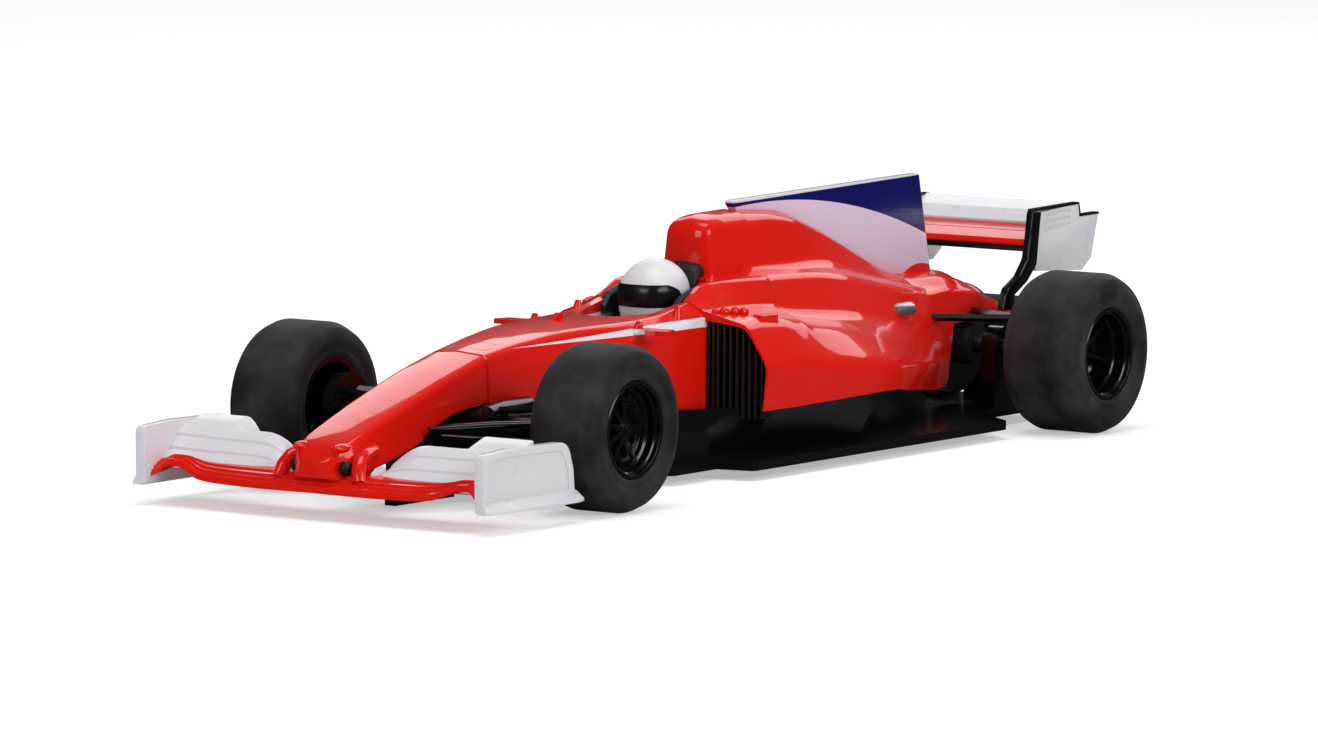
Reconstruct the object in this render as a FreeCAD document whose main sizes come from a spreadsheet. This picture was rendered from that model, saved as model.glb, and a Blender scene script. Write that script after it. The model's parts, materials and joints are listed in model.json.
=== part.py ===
"""Slot racing toy: a 1:32 open wheel racing car with its guide, motor, gears and axles.

Millimetres. X points forward, Y to the car's left and Z up. The origin is on the floor, at the middle of
the outside box. Stations along the car are shares of the wheelbase, counted back from the front axle.
"""
import FreeCAD, Part
import Sketcher
import math
import os
import re

Vector = FreeCAD.Vector

SIZES = {
    # The whole car
    "wheelbase": 112.0,
    "front_overhang": 30.5,
    "rear_overhang": 21.5,
    "cut_overrun": 1.0,
    "seat_gap": 0.05,
    "plate_corner": 1.0,
    # Wheels and axles
    "front_tyre_radius": 10.3,
    "front_tyre_width": 10.0,
    "rear_tyre_radius": 10.6,
    "rear_tyre_width": 11.4,
    "track_outer": 55.2,
    "tyre_shoulder": 2.0,
    "tyre_shoulder_steps": 3.0,
    "tyre_taper": 0.5,
    "rim_radius": 6.1,
    "rim_skin": 0.7,
    "rim_recess": 0.5,
    "front_dish_depth": 2.4,
    "rear_dish_depth": 5.6,
    "web_thickness": 1.2,
    "spoke_depth": 1.0,
    "spoke_width": 0.7,
    "spoke_count": 10.0,
    "hub_radius": 2.1,
    "hub_length": 1.4,
    "axle_radius": 1.19,
    "axle_clearance": 0.06,
    "bearing_wall": 1.5,
    # Body shell
    "wall": 1.2,
    "roof_height": 31.8,
    "tub_half_width": 9.0,
    "pod_half_width": 17.4,
    "pod_front_sweep": 3.4,
    "panel_corner": 1.4,
    "grille_thickness": 1.0,
    "grille_rib": 0.55,
    "grille_rib_depth": 0.8,
    "grille_ribs": 7.0,
    "cockpit_half_width": 5.9,
    "cockpit_floor_height": 12.0,
    "tail_clearance": 0.4,
    # Engine cover fin
    "fin_thickness": 1.3,
    "fin_rise": 1.7,
    # Nose cone
    "nose_half_width": 5.0,
    "pylon_thickness": 1.2,
    # Mirrors
    "mirror_span": 3.4,
    "mirror_length": 2.6,
    "mirror_thickness": 1.3,
    # Driver
    "helmet_half_length": 4.9,
    "helmet_half_width": 4.0,
    "helmet_half_height": 4.2,
    "helmet_centre_height": 22.4,
    "visor_proud": 0.2,
    "visor_height": 2.9,
    "torso_half_width": 4.2,
    "torso_length": 11.0,
    "pad_thickness": 1.2,
    "pad_length": 7.0,
    "pad_height": 3.0,
    # Underpan
    "floor_height": 1.3,
    "floor_thickness": 1.2,
    "floor_half_width": 20.0,
    "tray_half_width": 15.0,
    "diffuser_half_width": 11.0,
    "strake_thickness": 0.8,
    "strake_height": 5.0,
    "post_width": 2.2,
    "plinth_hole_radius": 1.0,
    "plinth_hole_depth": 5.0,
    "plinth_boss_radius": 2.8,
    "bargeboard_thickness": 0.9,
    "bargeboard_height": 4.2,
    # Front axle carrier and guide
    "carrier_half_width": 6.2,
    "tongue_half_width": 4.2,
    "tongue_height": 3.2,
    "tongue_thickness": 2.0,
    "guide_lead": 7.0,
    "guide_post_radius": 2.0,
    "guide_clearance": 0.08,
    "guide_boss_wall": 1.5,
    "guide_boss_top": 8.2,
    "guide_flag_length": 15.0,
    "guide_flag_width": 6.4,
    "guide_flag_thickness": 1.1,
    "guide_blade_thickness": 1.6,
    "guide_blade_length": 12.5,
    "guide_floor_gap": 0.25,
    "guide_running_gap": 0.3,
    "braid_width": 1.8,
    "braid_thickness": 0.3,
    # Motor and gears
    "motor_length": 24.0,
    "motor_width": 12.6,
    "motor_height": 11.0,
    "motor_share": 0.56,
    "motor_boss_radius": 3.0,
    "motor_boss_length": 1.2,
    "shaft_radius": 0.75,
    "shaft_clearance": 0.06,
    "gear_outer_radius": 6.6,
    "gear_tooth_length": 1.6,
    "gear_tooth_thickness": 0.46,
    "gear_disc_thickness": 1.3,
    "gear_hub_radius": 2.8,
    "gear_hub_length": 3.0,
    "gear_teeth": 27.0,
    "pinion_teeth": 9.0,
    "pinion_outer_radius": 2.15,
    "pinion_root_radius": 1.35,
    "pinion_tooth_thickness": 0.46,
    "pinion_tip_thickness": 0.28,
    "pinion_length": 3.6,
    "mesh_depth": 0.5,
    "mesh_clearance": 0.2,
    "magnet_length": 6.0,
    "magnet_share": 0.16,
    "magnet_width": 9.0,
    "magnet_thickness": 2.0,
    # Front wing
    "front_wing_half_span": 25.2,
    "front_wing_chord": 10.4,
    "front_wing_height": 3.0,
    "front_wing_thickness": 1.2,
    "front_wing_arch": 1.55,
    "front_flap_thickness": 1.0,
    "front_flap_gap": 1.6,
    "front_flap_rise": 2.8,
    "cascade_rise": 2.2,
    "front_plate_thickness": 1.0,
    "front_plate_length": 19.6,
    "front_plate_height": 7.4,
    "front_plate_low": 2.6,
    "front_plate_foot": 0.5,
    "front_plate_toe": 5.0,
    # Suspension
    "arm_thickness": 1.0,
    "arm_chord": 1.6,
    "upright_radius": 4.2,
    "upright_thickness": 1.6,
    "wheel_gap": 0.6,
    # Rear wing
    "rear_wing_tyre_gap": 3.8,
    "rear_wing_height": 28.7,
    "rear_plate_thickness": 1.0,
    "rear_plane_thickness": 1.1,
    "beam_thickness": 1.1,
    "beam_chord": 5.0,
    "crash_half_width": 2.4,
    "crash_height": 14.0,
    "exhaust_radius": 1.3,
    "exhaust_bore": 0.8,
    "exhaust_length": 4.0,
}

doc = FreeCAD.newDocument("SlotRacer")
sheet = doc.addObject("Spreadsheet::Sheet", "Sizes")
for row, (alias, value) in enumerate(SIZES.items(), start=1):
    sheet.set(f"A{row}", alias)
    sheet.set(f"B{row}", str(value))
    sheet.setAlias(f"B{row}", alias)
doc.recompute()


def amount(text):
    """The value of an expression in the sheet's names."""
    return float(sheet.evalExpression(bound(text)))


def bound(text):
    """An expression whose words are names in the sheet, ready for an object of the document."""
    return re.sub(r"\b(?!(?:sin|cos|tan|sqrt|deg)\b)([a-z][a-z_]+)\b", r"Sizes.\1", text)


WHEELBASE = amount("wheelbase")
FRONT_AXLE = "((wheelbase + rear_overhang - front_overhang) / 2)"
REAR_AXLE = "((rear_overhang - front_overhang - wheelbase) / 2)"
GUIDE_PIVOT = f"({FRONT_AXLE} + guide_lead)"
REAR_WING_HALF_SPAN = "(track_outer / 2 - rear_tyre_width - rear_wing_tyre_gap)"
FRONT_END = amount(f"{FRONT_AXLE} + front_overhang")
REAR_END = amount(f"{REAR_AXLE} - rear_overhang")
FRONT_AXLE_X = amount(FRONT_AXLE)
REAR_AXLE_X = amount(REAR_AXLE)
WALL = amount("wall")
OVERRUN = amount("cut_overrun")
ROOF = amount("roof_height")
TUB = amount("tub_half_width")
FLOOR_TOP = amount("floor_height + floor_thickness")


def station(share):
    """The X of a station, from its share of the wheelbase behind the front axle."""
    return FRONT_AXLE_X - share * WHEELBASE


def feature(label, shape):
    """A finished free form as an object of the document."""
    made = doc.addObject("Part::Feature", label)
    made.Label = label
    made.Shape = shape
    return made


def rounded(corners, place, chamfered=False):
    """A closed wire through corners (u, v, radius), each rounded or chamfered, put in space by place."""
    here = [Vector(u, v, 0) for u, v, radius in corners]
    count = len(corners)
    starts, mids, ends = [], [], []
    for i, (u, v, radius) in enumerate(corners):
        back = (here[i - 1] - here[i]).normalize()
        on = (here[(i + 1) % count] - here[i]).normalize()
        half = back.getAngle(on) / 2
        starts.append(here[i] + back * (radius / math.tan(half)))
        ends.append(here[i] + on * (radius / math.tan(half)))
        mids.append(here[i] + (back + on).normalize() * (radius / math.sin(half) - radius))
    edges = []
    for i in range(count):
        if corners[i][2] > 0 and chamfered:
            edges.append(Part.makeLine(place(*starts[i][:2]), place(*ends[i][:2])))
        elif corners[i][2] > 0:
            edges.append(Part.Arc(*[place(p.x, p.y) for p in (starts[i], mids[i], ends[i])]).toShape())
        edges.append(Part.makeLine(place(ends[i].x, ends[i].y), place(*starts[(i + 1) % count][:2])))
    return Part.Wire(edges)


def across(x):
    """Places (y, z) of a cross-section at the station x."""
    return lambda y, z: Vector(x, y, z)


def along(y):
    """Places (x, z) of a side view at y."""
    return lambda x, z: Vector(x, y, z)


def level(z):
    """Places (x, y) of a plan at the height z."""
    return lambda x, y: Vector(x, y, z)


def slab(wire, direction):
    """The solid swept by a flat closed wire along a direction."""
    return Part.Face(wire).extrude(direction)


def loft(wires):
    """A solid loft through closed wires, straight from each wire to the next."""
    return Part.makeLoft(wires, True, True)


def mirrored(shape):
    """The same shape on the car's other side."""
    return shape.mirror(Vector(), Vector(0, 1, 0))


def cylinder(radius, length, base, direction):
    """A round bar from base along direction."""
    return Part.makeCylinder(radius, length, base, direction)


def origin_plane(body, role):
    """One of a body's own origin planes."""
    return [item for item in body.Origin.OriginFeatures if item.Role == role][0]


def new_body(label, x="0", y="0", z="0"):
    """An empty body whose place is bound to the sheet."""
    body = doc.addObject("PartDesign::Body", label)
    body.Label = label
    for axis, text in (("x", x), ("y", y), ("z", z)):
        body.setExpression(f"Placement.Base.{axis}", bound(text))
    return body


def sketch(body, role, corners, offset="0"):
    """A closed outline on an origin plane. Each corner is (x, y) or (x, y, bulge of the edge after it)."""
    drawn = body.newObject("Sketcher::SketchObject", body.Name + "Sketch")
    drawn.AttachmentSupport = [(origin_plane(body, role), "")]
    drawn.MapMode = "FlatFace"
    drawn.setExpression("AttachmentOffset.Base.z", bound(offset))
    spots = [Vector(amount(corner[0]), amount(corner[1]), 0) for corner in corners]
    count = len(corners)
    firsts, lasts = [], []
    for i, corner in enumerate(corners):
        here, after = spots[i], spots[(i + 1) % count]
        if len(corner) == 2:
            drawn.addGeometry(Part.LineSegment(here, after), False)
            firsts.append(1)
            lasts.append(2)
            continue
        run = after - here
        side = Vector(run.y, -run.x, 0).normalize()
        bulge = amount(corner[2])
        arc = Part.Arc(here, (here + after) / 2 + side * bulge, after)
        drawn.addGeometry(arc, False)
        drawn_arc = drawn.Geometry[i]
        turned = drawn_arc.StartPoint.distanceToPoint(here) > drawn_arc.EndPoint.distanceToPoint(here)
        firsts.append(2 if turned else 1)
        lasts.append(1 if turned else 2)
    for i in range(count):
        follower = (i + 1) % count
        drawn.addConstraint(Sketcher.Constraint("Coincident", i, lasts[i], follower, firsts[follower]))
    for i, corner in enumerate(corners):
        for kind, text, value in (("DistanceX", corner[0], spots[i].x), ("DistanceY", corner[1], spots[i].y)):
            number = drawn.addConstraint(Sketcher.Constraint(kind, -1, 1, i, firsts[i], value))
            drawn.setExpression(f"Constraints[{number}]", bound(text))
        if len(corner) == 3:
            (x0, y0), (x1, y1) = corner[:2], corners[(i + 1) % count][:2]
            chord = f"((({x1}) - ({x0}))^2 + (({y1}) - ({y0}))^2)"
            radius = f"({chord} / 4 + ({corner[2]})^2) / (2 * ({corner[2]}))"
            number = drawn.addConstraint(Sketcher.Constraint("Radius", i, amount(radius)))
            drawn.setExpression(f"Constraints[{number}]", bound(radius))
    return drawn


def circle(body, role, radius, offset="0"):
    """A circle about the origin of an origin plane."""
    drawn = body.newObject("Sketcher::SketchObject", body.Name + "Sketch")
    drawn.AttachmentSupport = [(origin_plane(body, role), "")]
    drawn.MapMode = "FlatFace"
    drawn.setExpression("AttachmentOffset.Base.z", bound(offset))
    drawn.addGeometry(Part.Circle(Vector(), Vector(0, 0, 1), amount(radius)), False)
    drawn.addConstraint(Sketcher.Constraint("Coincident", 0, 3, -1, 1))
    number = drawn.addConstraint(Sketcher.Constraint("Radius", 0, amount(radius)))
    drawn.setExpression(f"Constraints[{number}]", bound(radius))
    return drawn


def pad(body, drawn, length, middle=False, reverse=False):
    """Pads a sketch by a bound length."""
    made = body.newObject("PartDesign::Pad", body.Name + "Pad")
    made.Profile = drawn
    made.setExpression("Length", bound(length))
    made.Midplane = middle
    made.Reversed = reverse
    doc.recompute()
    return made


def pocket(body, drawn, length, middle=False, reverse=False):
    """Cuts a sketch into the body by a bound length."""
    made = body.newObject("PartDesign::Pocket", body.Name + "Pocket")
    made.Profile = drawn
    made.setExpression("Length", bound(length))
    made.Midplane = middle
    made.Reversed = reverse
    doc.recompute()
    return made


def turn(body, drawn):
    """Turns a sketch about its own horizontal axis."""
    made = body.newObject("PartDesign::Revolution", body.Name + "Turn")
    made.Profile = drawn
    made.ReferenceAxis = (drawn, ["H_Axis"])
    made.Angle = 360
    doc.recompute()
    return made


def around(body, original, axis_role, count):
    """Repeats a feature around one of the body's own axes."""
    made = body.newObject("PartDesign::PolarPattern", body.Name + "Ring")
    made.Originals = [original]
    made.Axis = (origin_plane(body, axis_role), [""])
    made.Angle = 360
    made.setExpression("Occurrences", bound(count))
    body.Tip = made
    doc.recompute()
    return made


def soften(body, radius, chosen):
    """Rounds the edges of the body that chosen picks."""
    base = body.Tip
    names = [f"Edge{i + 1}" for i, edge in enumerate(base.Shape.Edges) if chosen(edge)]
    made = body.newObject("PartDesign::Fillet", body.Name + "Fillet")
    made.Base = (base, names)
    made.setExpression("Radius", bound(radius))
    body.Tip = made
    doc.recompute()
    return made


def upright_edge(axis):
    """Picks straight edges that run along an axis of the model."""
    def chosen(edge):
        if edge.Curve.TypeId != "Part::GeomLine":
            return False
        return abs(edge.tangentAt(edge.FirstParameter).dot(axis)) > math.cos(math.radians(1))
    return chosen


# Wheels

def wheel_side(label, axle, height, side):
    """A body on an axle. Its local +Y points out of the car on either side."""
    body = new_body(label, axle, "0", height)
    body.Placement.Rotation = FreeCAD.Rotation(Vector(0, 0, 1), 0 if side > 0 else 180)
    return body


def tyre(label, axle, radius, width, side):
    """A slick tyre with rounded shoulders and walls that lean in towards the rim."""
    body = wheel_side(label, axle, radius, side)
    outer = "(track_outer / 2)"
    inner = f"({outer} - {width})"
    bore = "(rim_radius + seat_gap)"
    steps = int(amount("tyre_shoulder_steps"))
    right, left = [], []
    for step in range(steps + 1):
        angle = f"{90 * step / steps} deg"
        across_by = f"tyre_shoulder * (1 - cos({angle}))"
        height = f"{radius} - tyre_shoulder * (1 - sin({angle}))"
        right.append((f"{outer} - {across_by}", height))
        left.append((f"{inner} + {across_by}", height))
    bead = [(f"{inner} + tyre_taper", bore), (f"{outer} - tyre_taper", bore)]
    turn(body, sketch(body, "YZ_Plane", bead + right + left[::-1]))
    return body


def rim(label, axle, height, width, dish, side, spokes):
    """A dished rim: a barrel with a lip, a web set back by the dish, a hub and raised spokes."""
    body = wheel_side(label, axle, height, side)
    outer = "(track_outer / 2 - rim_recess)"
    inner = f"(track_outer / 2 - {width} + rim_recess)"
    face = f"({outer} - {dish})"
    inside = "(rim_radius - rim_skin)"
    bore = "(axle_radius + seat_gap)"
    corners = [
        (outer, "rim_radius"),
        (outer, inside),
        (f"{face}", inside),
        (f"{face}", "hub_radius"),
        (f"{face} + hub_length", "hub_radius"),
        (f"{face} + hub_length", bore),
        (inner, bore),
        (inner, "hub_radius"),
        (f"{face} - web_thickness", "hub_radius"),
        (f"{face} - web_thickness", inside),
        (inner, inside),
        (inner, "rim_radius"),
    ]
    turn(body, sketch(body, "YZ_Plane", corners))
    if spokes:
        half = "(spoke_width / 2)"
        reach = "(rim_radius - rim_skin / 2)"
        root = "(hub_radius - rim_skin / 2)"
        bar = [(root, f"-{half}"), (reach, f"-{half}"), (reach, half), (root, half)]
        drawn = sketch(body, "XZ_Plane", bar, f"-{face}")
        spoke = pad(body, drawn, "spoke_depth", reverse=True)
        around(body, spoke, "Y_Axis", "spoke_count")
    return body


def axle_bar(label, axle, height):
    """A plain steel axle from wheel to wheel."""
    body = new_body(label, axle, "0", height)
    reach = "track_outer - 2 * (rim_recess + rear_dish_depth - hub_length)"
    pad(body, circle(body, "XZ_Plane", "axle_radius"), reach, middle=True)
    return body


def wheels():
    """The two axles with their rims and tyres."""
    for name, axle, radius, width, dish in (
        ("front", FRONT_AXLE, "front_tyre_radius", "front_tyre_width", "front_dish_depth"),
        ("rear", REAR_AXLE, "rear_tyre_radius", "rear_tyre_width", "rear_dish_depth"),
    ):
        axle_bar(f"{name}_axle", axle, radius)
        for word, side in (("left", 1), ("right", -1)):
            rim(f"{name}_rim_{word}", axle, radius, width, dish, side, True)
            tyre(f"{name}_tyre_{word}", axle, radius, width, side)


# Gears and motor

GEAR_FACE = "(pinion_outer_radius + mesh_clearance)"
GEAR_TIP = "(pinion_outer_radius - mesh_depth)"
GEAR_MEAN = "(gear_outer_radius - gear_tooth_length / 2)"


def crown_gear():
    """A crown gear whose teeth stand on the face that looks to the car's middle."""
    body = new_body("crown_gear", REAR_AXLE, "0", "rear_tyre_radius")
    back = f"({GEAR_FACE} + gear_disc_thickness)"
    bore = "(axle_radius + seat_gap)"
    corners = [
        (GEAR_FACE, bore),
        (f"{back} + gear_hub_length", bore),
        (f"{back} + gear_hub_length", "gear_hub_radius"),
        (back, "gear_hub_radius"),
        (back, "gear_outer_radius"),
        (GEAR_FACE, "gear_outer_radius"),
    ]
    turn(body, sketch(body, "YZ_Plane", corners))
    inner = "(gear_outer_radius - gear_tooth_length)"
    half = "(gear_tooth_thickness / 2)"
    bar = [(inner, f"-{half}"), ("gear_outer_radius", f"-{half}"), ("gear_outer_radius", half), (inner, half)]
    drawn = sketch(body, "XZ_Plane", bar, f"-{GEAR_FACE}")
    tooth = pad(body, drawn, f"{GEAR_FACE} - {GEAR_TIP}")
    around(body, tooth, "Y_Axis", "gear_teeth")
    body.Placement.Rotation = FreeCAD.Rotation(Vector(0, 1, 0), 180 / amount("gear_teeth"))
    return body


def pinion():
    """The small gear on the motor's shaft, with a tooth that points at the crown gear."""
    body = new_body("pinion", f"{REAR_AXLE} + {GEAR_MEAN}", "0", "rear_tyre_radius")
    ring = circle(body, "YZ_Plane", "pinion_root_radius", "-pinion_length / 2")
    pad(body, ring, "pinion_length")
    root = "(shaft_radius + (pinion_root_radius - shaft_radius) / 2)"
    wide = "(pinion_tooth_thickness / 2)"
    tip = "(pinion_tip_thickness / 2)"
    bar = [(root, f"-{wide}"), ("pinion_outer_radius", f"-{tip}"), ("pinion_outer_radius", tip), (root, wide)]
    tooth = pad(body, sketch(body, "YZ_Plane", bar, "-pinion_length / 2"), "pinion_length")
    around(body, tooth, "X_Axis", "pinion_teeth")
    bore = circle(body, "YZ_Plane", "shaft_radius + seat_gap / 2", "-pinion_length / 2")
    pocket(body, bore, "pinion_length", reverse=True)
    return body


MOTOR_BACK = f"({FRONT_AXLE} - motor_share * wheelbase - motor_length)"


def motor():
    """The closed motor can with a bearing boss at its rear end."""
    body = new_body("motor", MOTOR_BACK, "0", "rear_tyre_radius")
    wide, tall = "(motor_width / 2)", "(motor_height / 2)"
    corners = [(f"-{wide}", f"-{tall}"), (wide, f"-{tall}"), (wide, tall), (f"-{wide}", tall)]
    pad(body, sketch(body, "YZ_Plane", corners), "motor_length")
    soften(body, "motor_height / 4", upright_edge(Vector(1, 0, 0)))
    boss = circle(body, "YZ_Plane", "motor_boss_radius", "-motor_boss_length")
    pad(body, boss, "motor_boss_length")
    hole = circle(body, "YZ_Plane", "shaft_radius + shaft_clearance", "-motor_boss_length")
    pocket(body, hole, "motor_boss_length + motor_length / 4", reverse=True)
    return body


def motor_shaft():
    """The steel shaft from inside the motor to the pinion's end."""
    start = f"({REAR_AXLE} + {GEAR_MEAN} - pinion_length / 2)"
    body = new_body("motor_shaft", start, "0", "rear_tyre_radius")
    length = f"{MOTOR_BACK} - {start} + motor_length / 5"
    pad(body, circle(body, "YZ_Plane", "shaft_radius"), length)
    return body


# Body shell

# Chassis ahead of the pods. Station; crown (of the roof); top edge and side: half width (of the tub),
# height (of the roof) and cut-back (of the panel corner); foot: half width and height
TUB_SHARES = [
    (0.008, 0.569, 0.478, 0.558, 0.683, 0.522, 0.472, 0.12, 0.533, 0.374),
    (0.0848, 0.61, 0.55, 0.597, 0.624, 0.656, 0.503, 0.287, 0.678, 0.349),
    (0.1562, 0.632, 0.633, 0.621, 0.566, 0.778, 0.528, 0.402, 0.811, 0.314),
    (0.2188, 0.642, 0.711, 0.627, 0.451, 0.878, 0.547, 0.441, 0.922, 0.283),
    (0.2634, 0.642, 0.733, 0.629, 0.312, 0.933, 0.56, 0.476, 0.978, 0.261),
    (0.317, 0.642, 0.739, 0.642, 0.275, 0.972, 0.572, 0.442, 1.0, 0.252),
    (0.3527, 0.657, 0.744, 0.657, 0.223, 0.983, 0.604, 0.473, 1.006, 0.252),
    (0.3741, 0.67, 0.75, 0.67, 0.152, 0.994, 0.635, 0.392, 1.011, 0.252),
    (0.3929, 0.67, 0.733, 0.67, 0.164, 0.978, 0.632, 0.378, 0.989, 0.252),
]
# Engine cover and pods. Station; crown (of the roof); spine's edge, spine's foot, shoulder and valley:
# half width (of the tub), height (of the roof) and cut-back (of the panel corner)
COVER_SHARES = [
    (0.3741, 0.676, 0.378, 0.676, 0.107, 0.533, 0.676, 0.107, 0.767, 0.679, 0.144, 1.022, 0.645, 0.107),
    (0.4152, 0.739, 0.378, 0.739, 0.107, 0.533, 0.739, 0.107, 0.789, 0.742, 0.35, 1.033, 0.645, 0.163),
    (0.5161, 0.755, 0.378, 0.755, 0.107, 0.533, 0.755, 0.107, 0.889, 0.739, 0.371, 1.039, 0.629, 0.316),
    (0.533, 0.994, 0.389, 0.975, 1.141, 0.522, 0.767, 0.418, 0.844, 0.736, 0.51, 1.056, 0.594, 0.862),
    (0.5848, 0.991, 0.367, 0.965, 0.838, 0.533, 0.761, 0.693, 0.833, 0.73, 0.538, 1.089, 0.569, 1.148),
    (0.6384, 0.975, 0.344, 0.94, 0.53, 0.556, 0.755, 0.878, 0.833, 0.72, 0.547, 1.1, 0.553, 1.115),
    (0.692, 0.925, 0.333, 0.881, 0.352, 0.556, 0.736, 0.819, 0.811, 0.701, 0.534, 1.089, 0.535, 0.834),
    (0.7455, 0.855, 0.322, 0.811, 0.272, 0.544, 0.698, 0.733, 0.778, 0.67, 0.597, 1.044, 0.509, 0.492),
    (0.7991, 0.777, 0.311, 0.736, 0.213, 0.522, 0.657, 0.651, 0.744, 0.638, 0.671, 0.978, 0.487, 0.215),
    (0.8527, 0.698, 0.311, 0.664, 0.12, 0.5, 0.623, 0.3, 0.711, 0.604, 0.64, 0.889, 0.465, 0.107),
    (0.9062, 0.648, 0.378, 0.626, 0.233, 0.511, 0.594, 0.185, 0.678, 0.572, 0.532, 0.778, 0.45, 0.107),
    (0.9464, 0.651, 0.422, 0.623, 0.313, 0.544, 0.591, 0.107, 0.656, 0.572, 0.375, 0.733, 0.465, 0.107),
    (0.9777, 0.645, 0.433, 0.613, 0.316, 0.544, 0.585, 0.107, 0.644, 0.566, 0.348, 0.7, 0.478, 0.107),
    (1.0089, 0.61, 0.411, 0.588, 0.185, 0.511, 0.572, 0.107, 0.633, 0.553, 0.403, 0.689, 0.478, 0.107),
    (1.0295, 0.553, 0.356, 0.547, 0.107, 0.444, 0.544, 0.107, 0.6, 0.528, 0.478, 0.667, 0.478, 0.13),
    (1.0804, 0.5, 0.267, 0.5, 0.107, 0.356, 0.497, 0.107, 0.522, 0.481, 0.139, 0.611, 0.462, 0.129),
    (1.1, 0.456, 0.222, 0.456, 0.107, 0.311, 0.456, 0.107, 0.433, 0.453, 0.107, 0.544, 0.448, 0.107),
]
# The same stations. Pod's top edge and side: half width (of the pod), height (of the roof) and cut-back
# (of the panel corner); foot: half width and height
POD_SHARES = [
    (0.782, 0.591, 0.573, 0.971, 0.425, 0.863, 0.943, 0.252),
    (0.793, 0.597, 0.826, 0.971, 0.425, 0.834, 0.954, 0.252),
    (0.805, 0.572, 0.886, 0.983, 0.409, 0.882, 0.966, 0.255),
    (0.805, 0.56, 1.087, 0.989, 0.403, 0.936, 0.971, 0.255),
    (0.799, 0.528, 0.916, 0.989, 0.39, 1.067, 0.971, 0.258),
    (0.776, 0.497, 0.573, 0.971, 0.377, 1.223, 0.954, 0.258),
    (0.736, 0.465, 0.275, 0.92, 0.358, 1.097, 0.902, 0.252),
    (0.678, 0.431, 0.107, 0.828, 0.333, 1.073, 0.793, 0.23),
    (0.603, 0.406, 0.107, 0.718, 0.308, 0.977, 0.667, 0.211),
    (0.517, 0.387, 0.107, 0.586, 0.289, 0.599, 0.529, 0.189),
    (0.425, 0.377, 0.107, 0.443, 0.283, 0.189, 0.402, 0.17),
    (0.391, 0.39, 0.107, 0.391, 0.314, 0.107, 0.362, 0.189),
    (0.362, 0.459, 0.107, 0.362, 0.447, 0.107, 0.356, 0.403),
    (0.356, 0.459, 0.107, 0.356, 0.447, 0.107, 0.351, 0.403),
    (0.345, 0.459, 0.107, 0.345, 0.447, 0.107, 0.339, 0.403),
    (0.316, 0.45, 0.107, 0.316, 0.44, 0.107, 0.31, 0.403),
    (0.282, 0.443, 0.107, 0.282, 0.44, 0.107, 0.276, 0.403),
]
# Airbox. Station; crown; upper edge: half width, height and cut-back; foot: half width, in the same units
AIRBOX_SHARES = [
    (0.4567, 0.921, 0.211, 0.912, 0.618, 0.3),
    (0.4634, 0.969, 0.333, 0.953, 0.978, 0.433),
    (0.4741, 0.984, 0.367, 0.965, 1.078, 0.478),
    (0.4973, 0.995, 0.389, 0.975, 1.144, 0.511),
    (0.5393, 0.998, 0.4, 0.978, 1.176, 0.539),
]
AIRBOX_FOOT_SHARE = 0.708
# Most of an edge that the cut-back of a corner may take
CORNER_REACH_SHARE = 0.45
GEAR_SPACE_FRONT = f"({REAR_AXLE} + gear_outer_radius + tail_clearance)"


def eased(corners, closed=False):
    """Points of an outline whose corners (u, v, cut-back) are eased by two short chords."""
    points = []
    for i, (u, v, cut_back) in enumerate(corners):
        here = Vector(u, v, 0)
        if not closed and i in (0, len(corners) - 1):
            points.append((u, v))
            continue
        back = Vector(*corners[i - 1][:2], 0) - here
        on = Vector(*corners[(i + 1) % len(corners)][:2], 0) - here
        reach = min(cut_back, CORNER_REACH_SHARE * min(back.Length, on.Length))
        first = here + back.normalize() * reach
        last = here + on.normalize() * reach
        middle = (first + here * 2 + last) / 4
        points += [(first.x, first.y), (middle.x, middle.y), (last.x, last.y)]
    return points


def inset_points(points, inset):
    """The left half of an outline, from its top to its foot, moved inwards by an inset."""
    moved = []
    for i, (u, v) in enumerate(points):
        normals = []
        for first, last in ((i - 1, i), (i, i + 1)):
            if first < 0 or last >= len(points):
                continue
            run = Vector(points[last][0] - points[first][0], points[last][1] - points[first][1], 0).normalize()
            normals.append(Vector(run.y, -run.x, 0))
        total = normals[0] + normals[-1]
        shift = total * (2 * inset / total.dot(total))
        moved.append((max(u + shift.x, 0.0), v + shift.y))
    return moved


def symmetric(half, place):
    """A closed wire through a left half outline, from the top middle to the foot, and its mirror image."""
    ring = half + [(-u, v) for u, v in reversed(half) if u > 0]
    return Part.makePolygon([place(*spot) for spot in ring + ring[:1]])


def corner_row(crown, values, wide):
    """Corners of a left half: the crown, edges of three values each and a foot of two."""
    cut = amount("panel_corner")
    corners = [(0.0, crown * ROOF, 0.0)]
    for i in range(0, len(values), 3):
        corners.append((values[i] * wide, values[i + 1] * ROOF, sum(values[i + 2:i + 3]) * cut))
    return corners


def cover_corners(number):
    """The corners of the cover's left half at a numbered station."""
    crown, *edges = COVER_SHARES[number][1:]
    pod_edges = corner_row(crown, POD_SHARES[number], amount("pod_half_width"))[1:]
    return corner_row(crown, edges, TUB) + pod_edges


def pod_front_wedge(setback):
    """What lies ahead of the left pod's swept front, or of a plane set back from it."""
    wide = amount("pod_half_width")
    valley = COVER_SHARES[0][-3] * TUB
    front = station(COVER_SHARES[0][0])
    inner = front - setback
    corners = [
        (inner, valley - OVERRUN, 0),
        (inner, valley, 0),
        (inner - amount("pod_front_sweep"), wide, 0),
        (inner - amount("pod_front_sweep"), wide + OVERRUN, 0),
        (front + wide, wide + OVERRUN, 0),
        (front + wide, valley - OVERRUN, 0),
    ]
    return slab(rounded(corners, level(-OVERRUN)), Vector(0, 0, ROOF))


def swept(form, setback):
    """A cover form whose pods' fronts are cut back towards their outside."""
    wedge = pod_front_wedge(setback)
    return form.cut([wedge, mirrored(wedge)])


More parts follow.
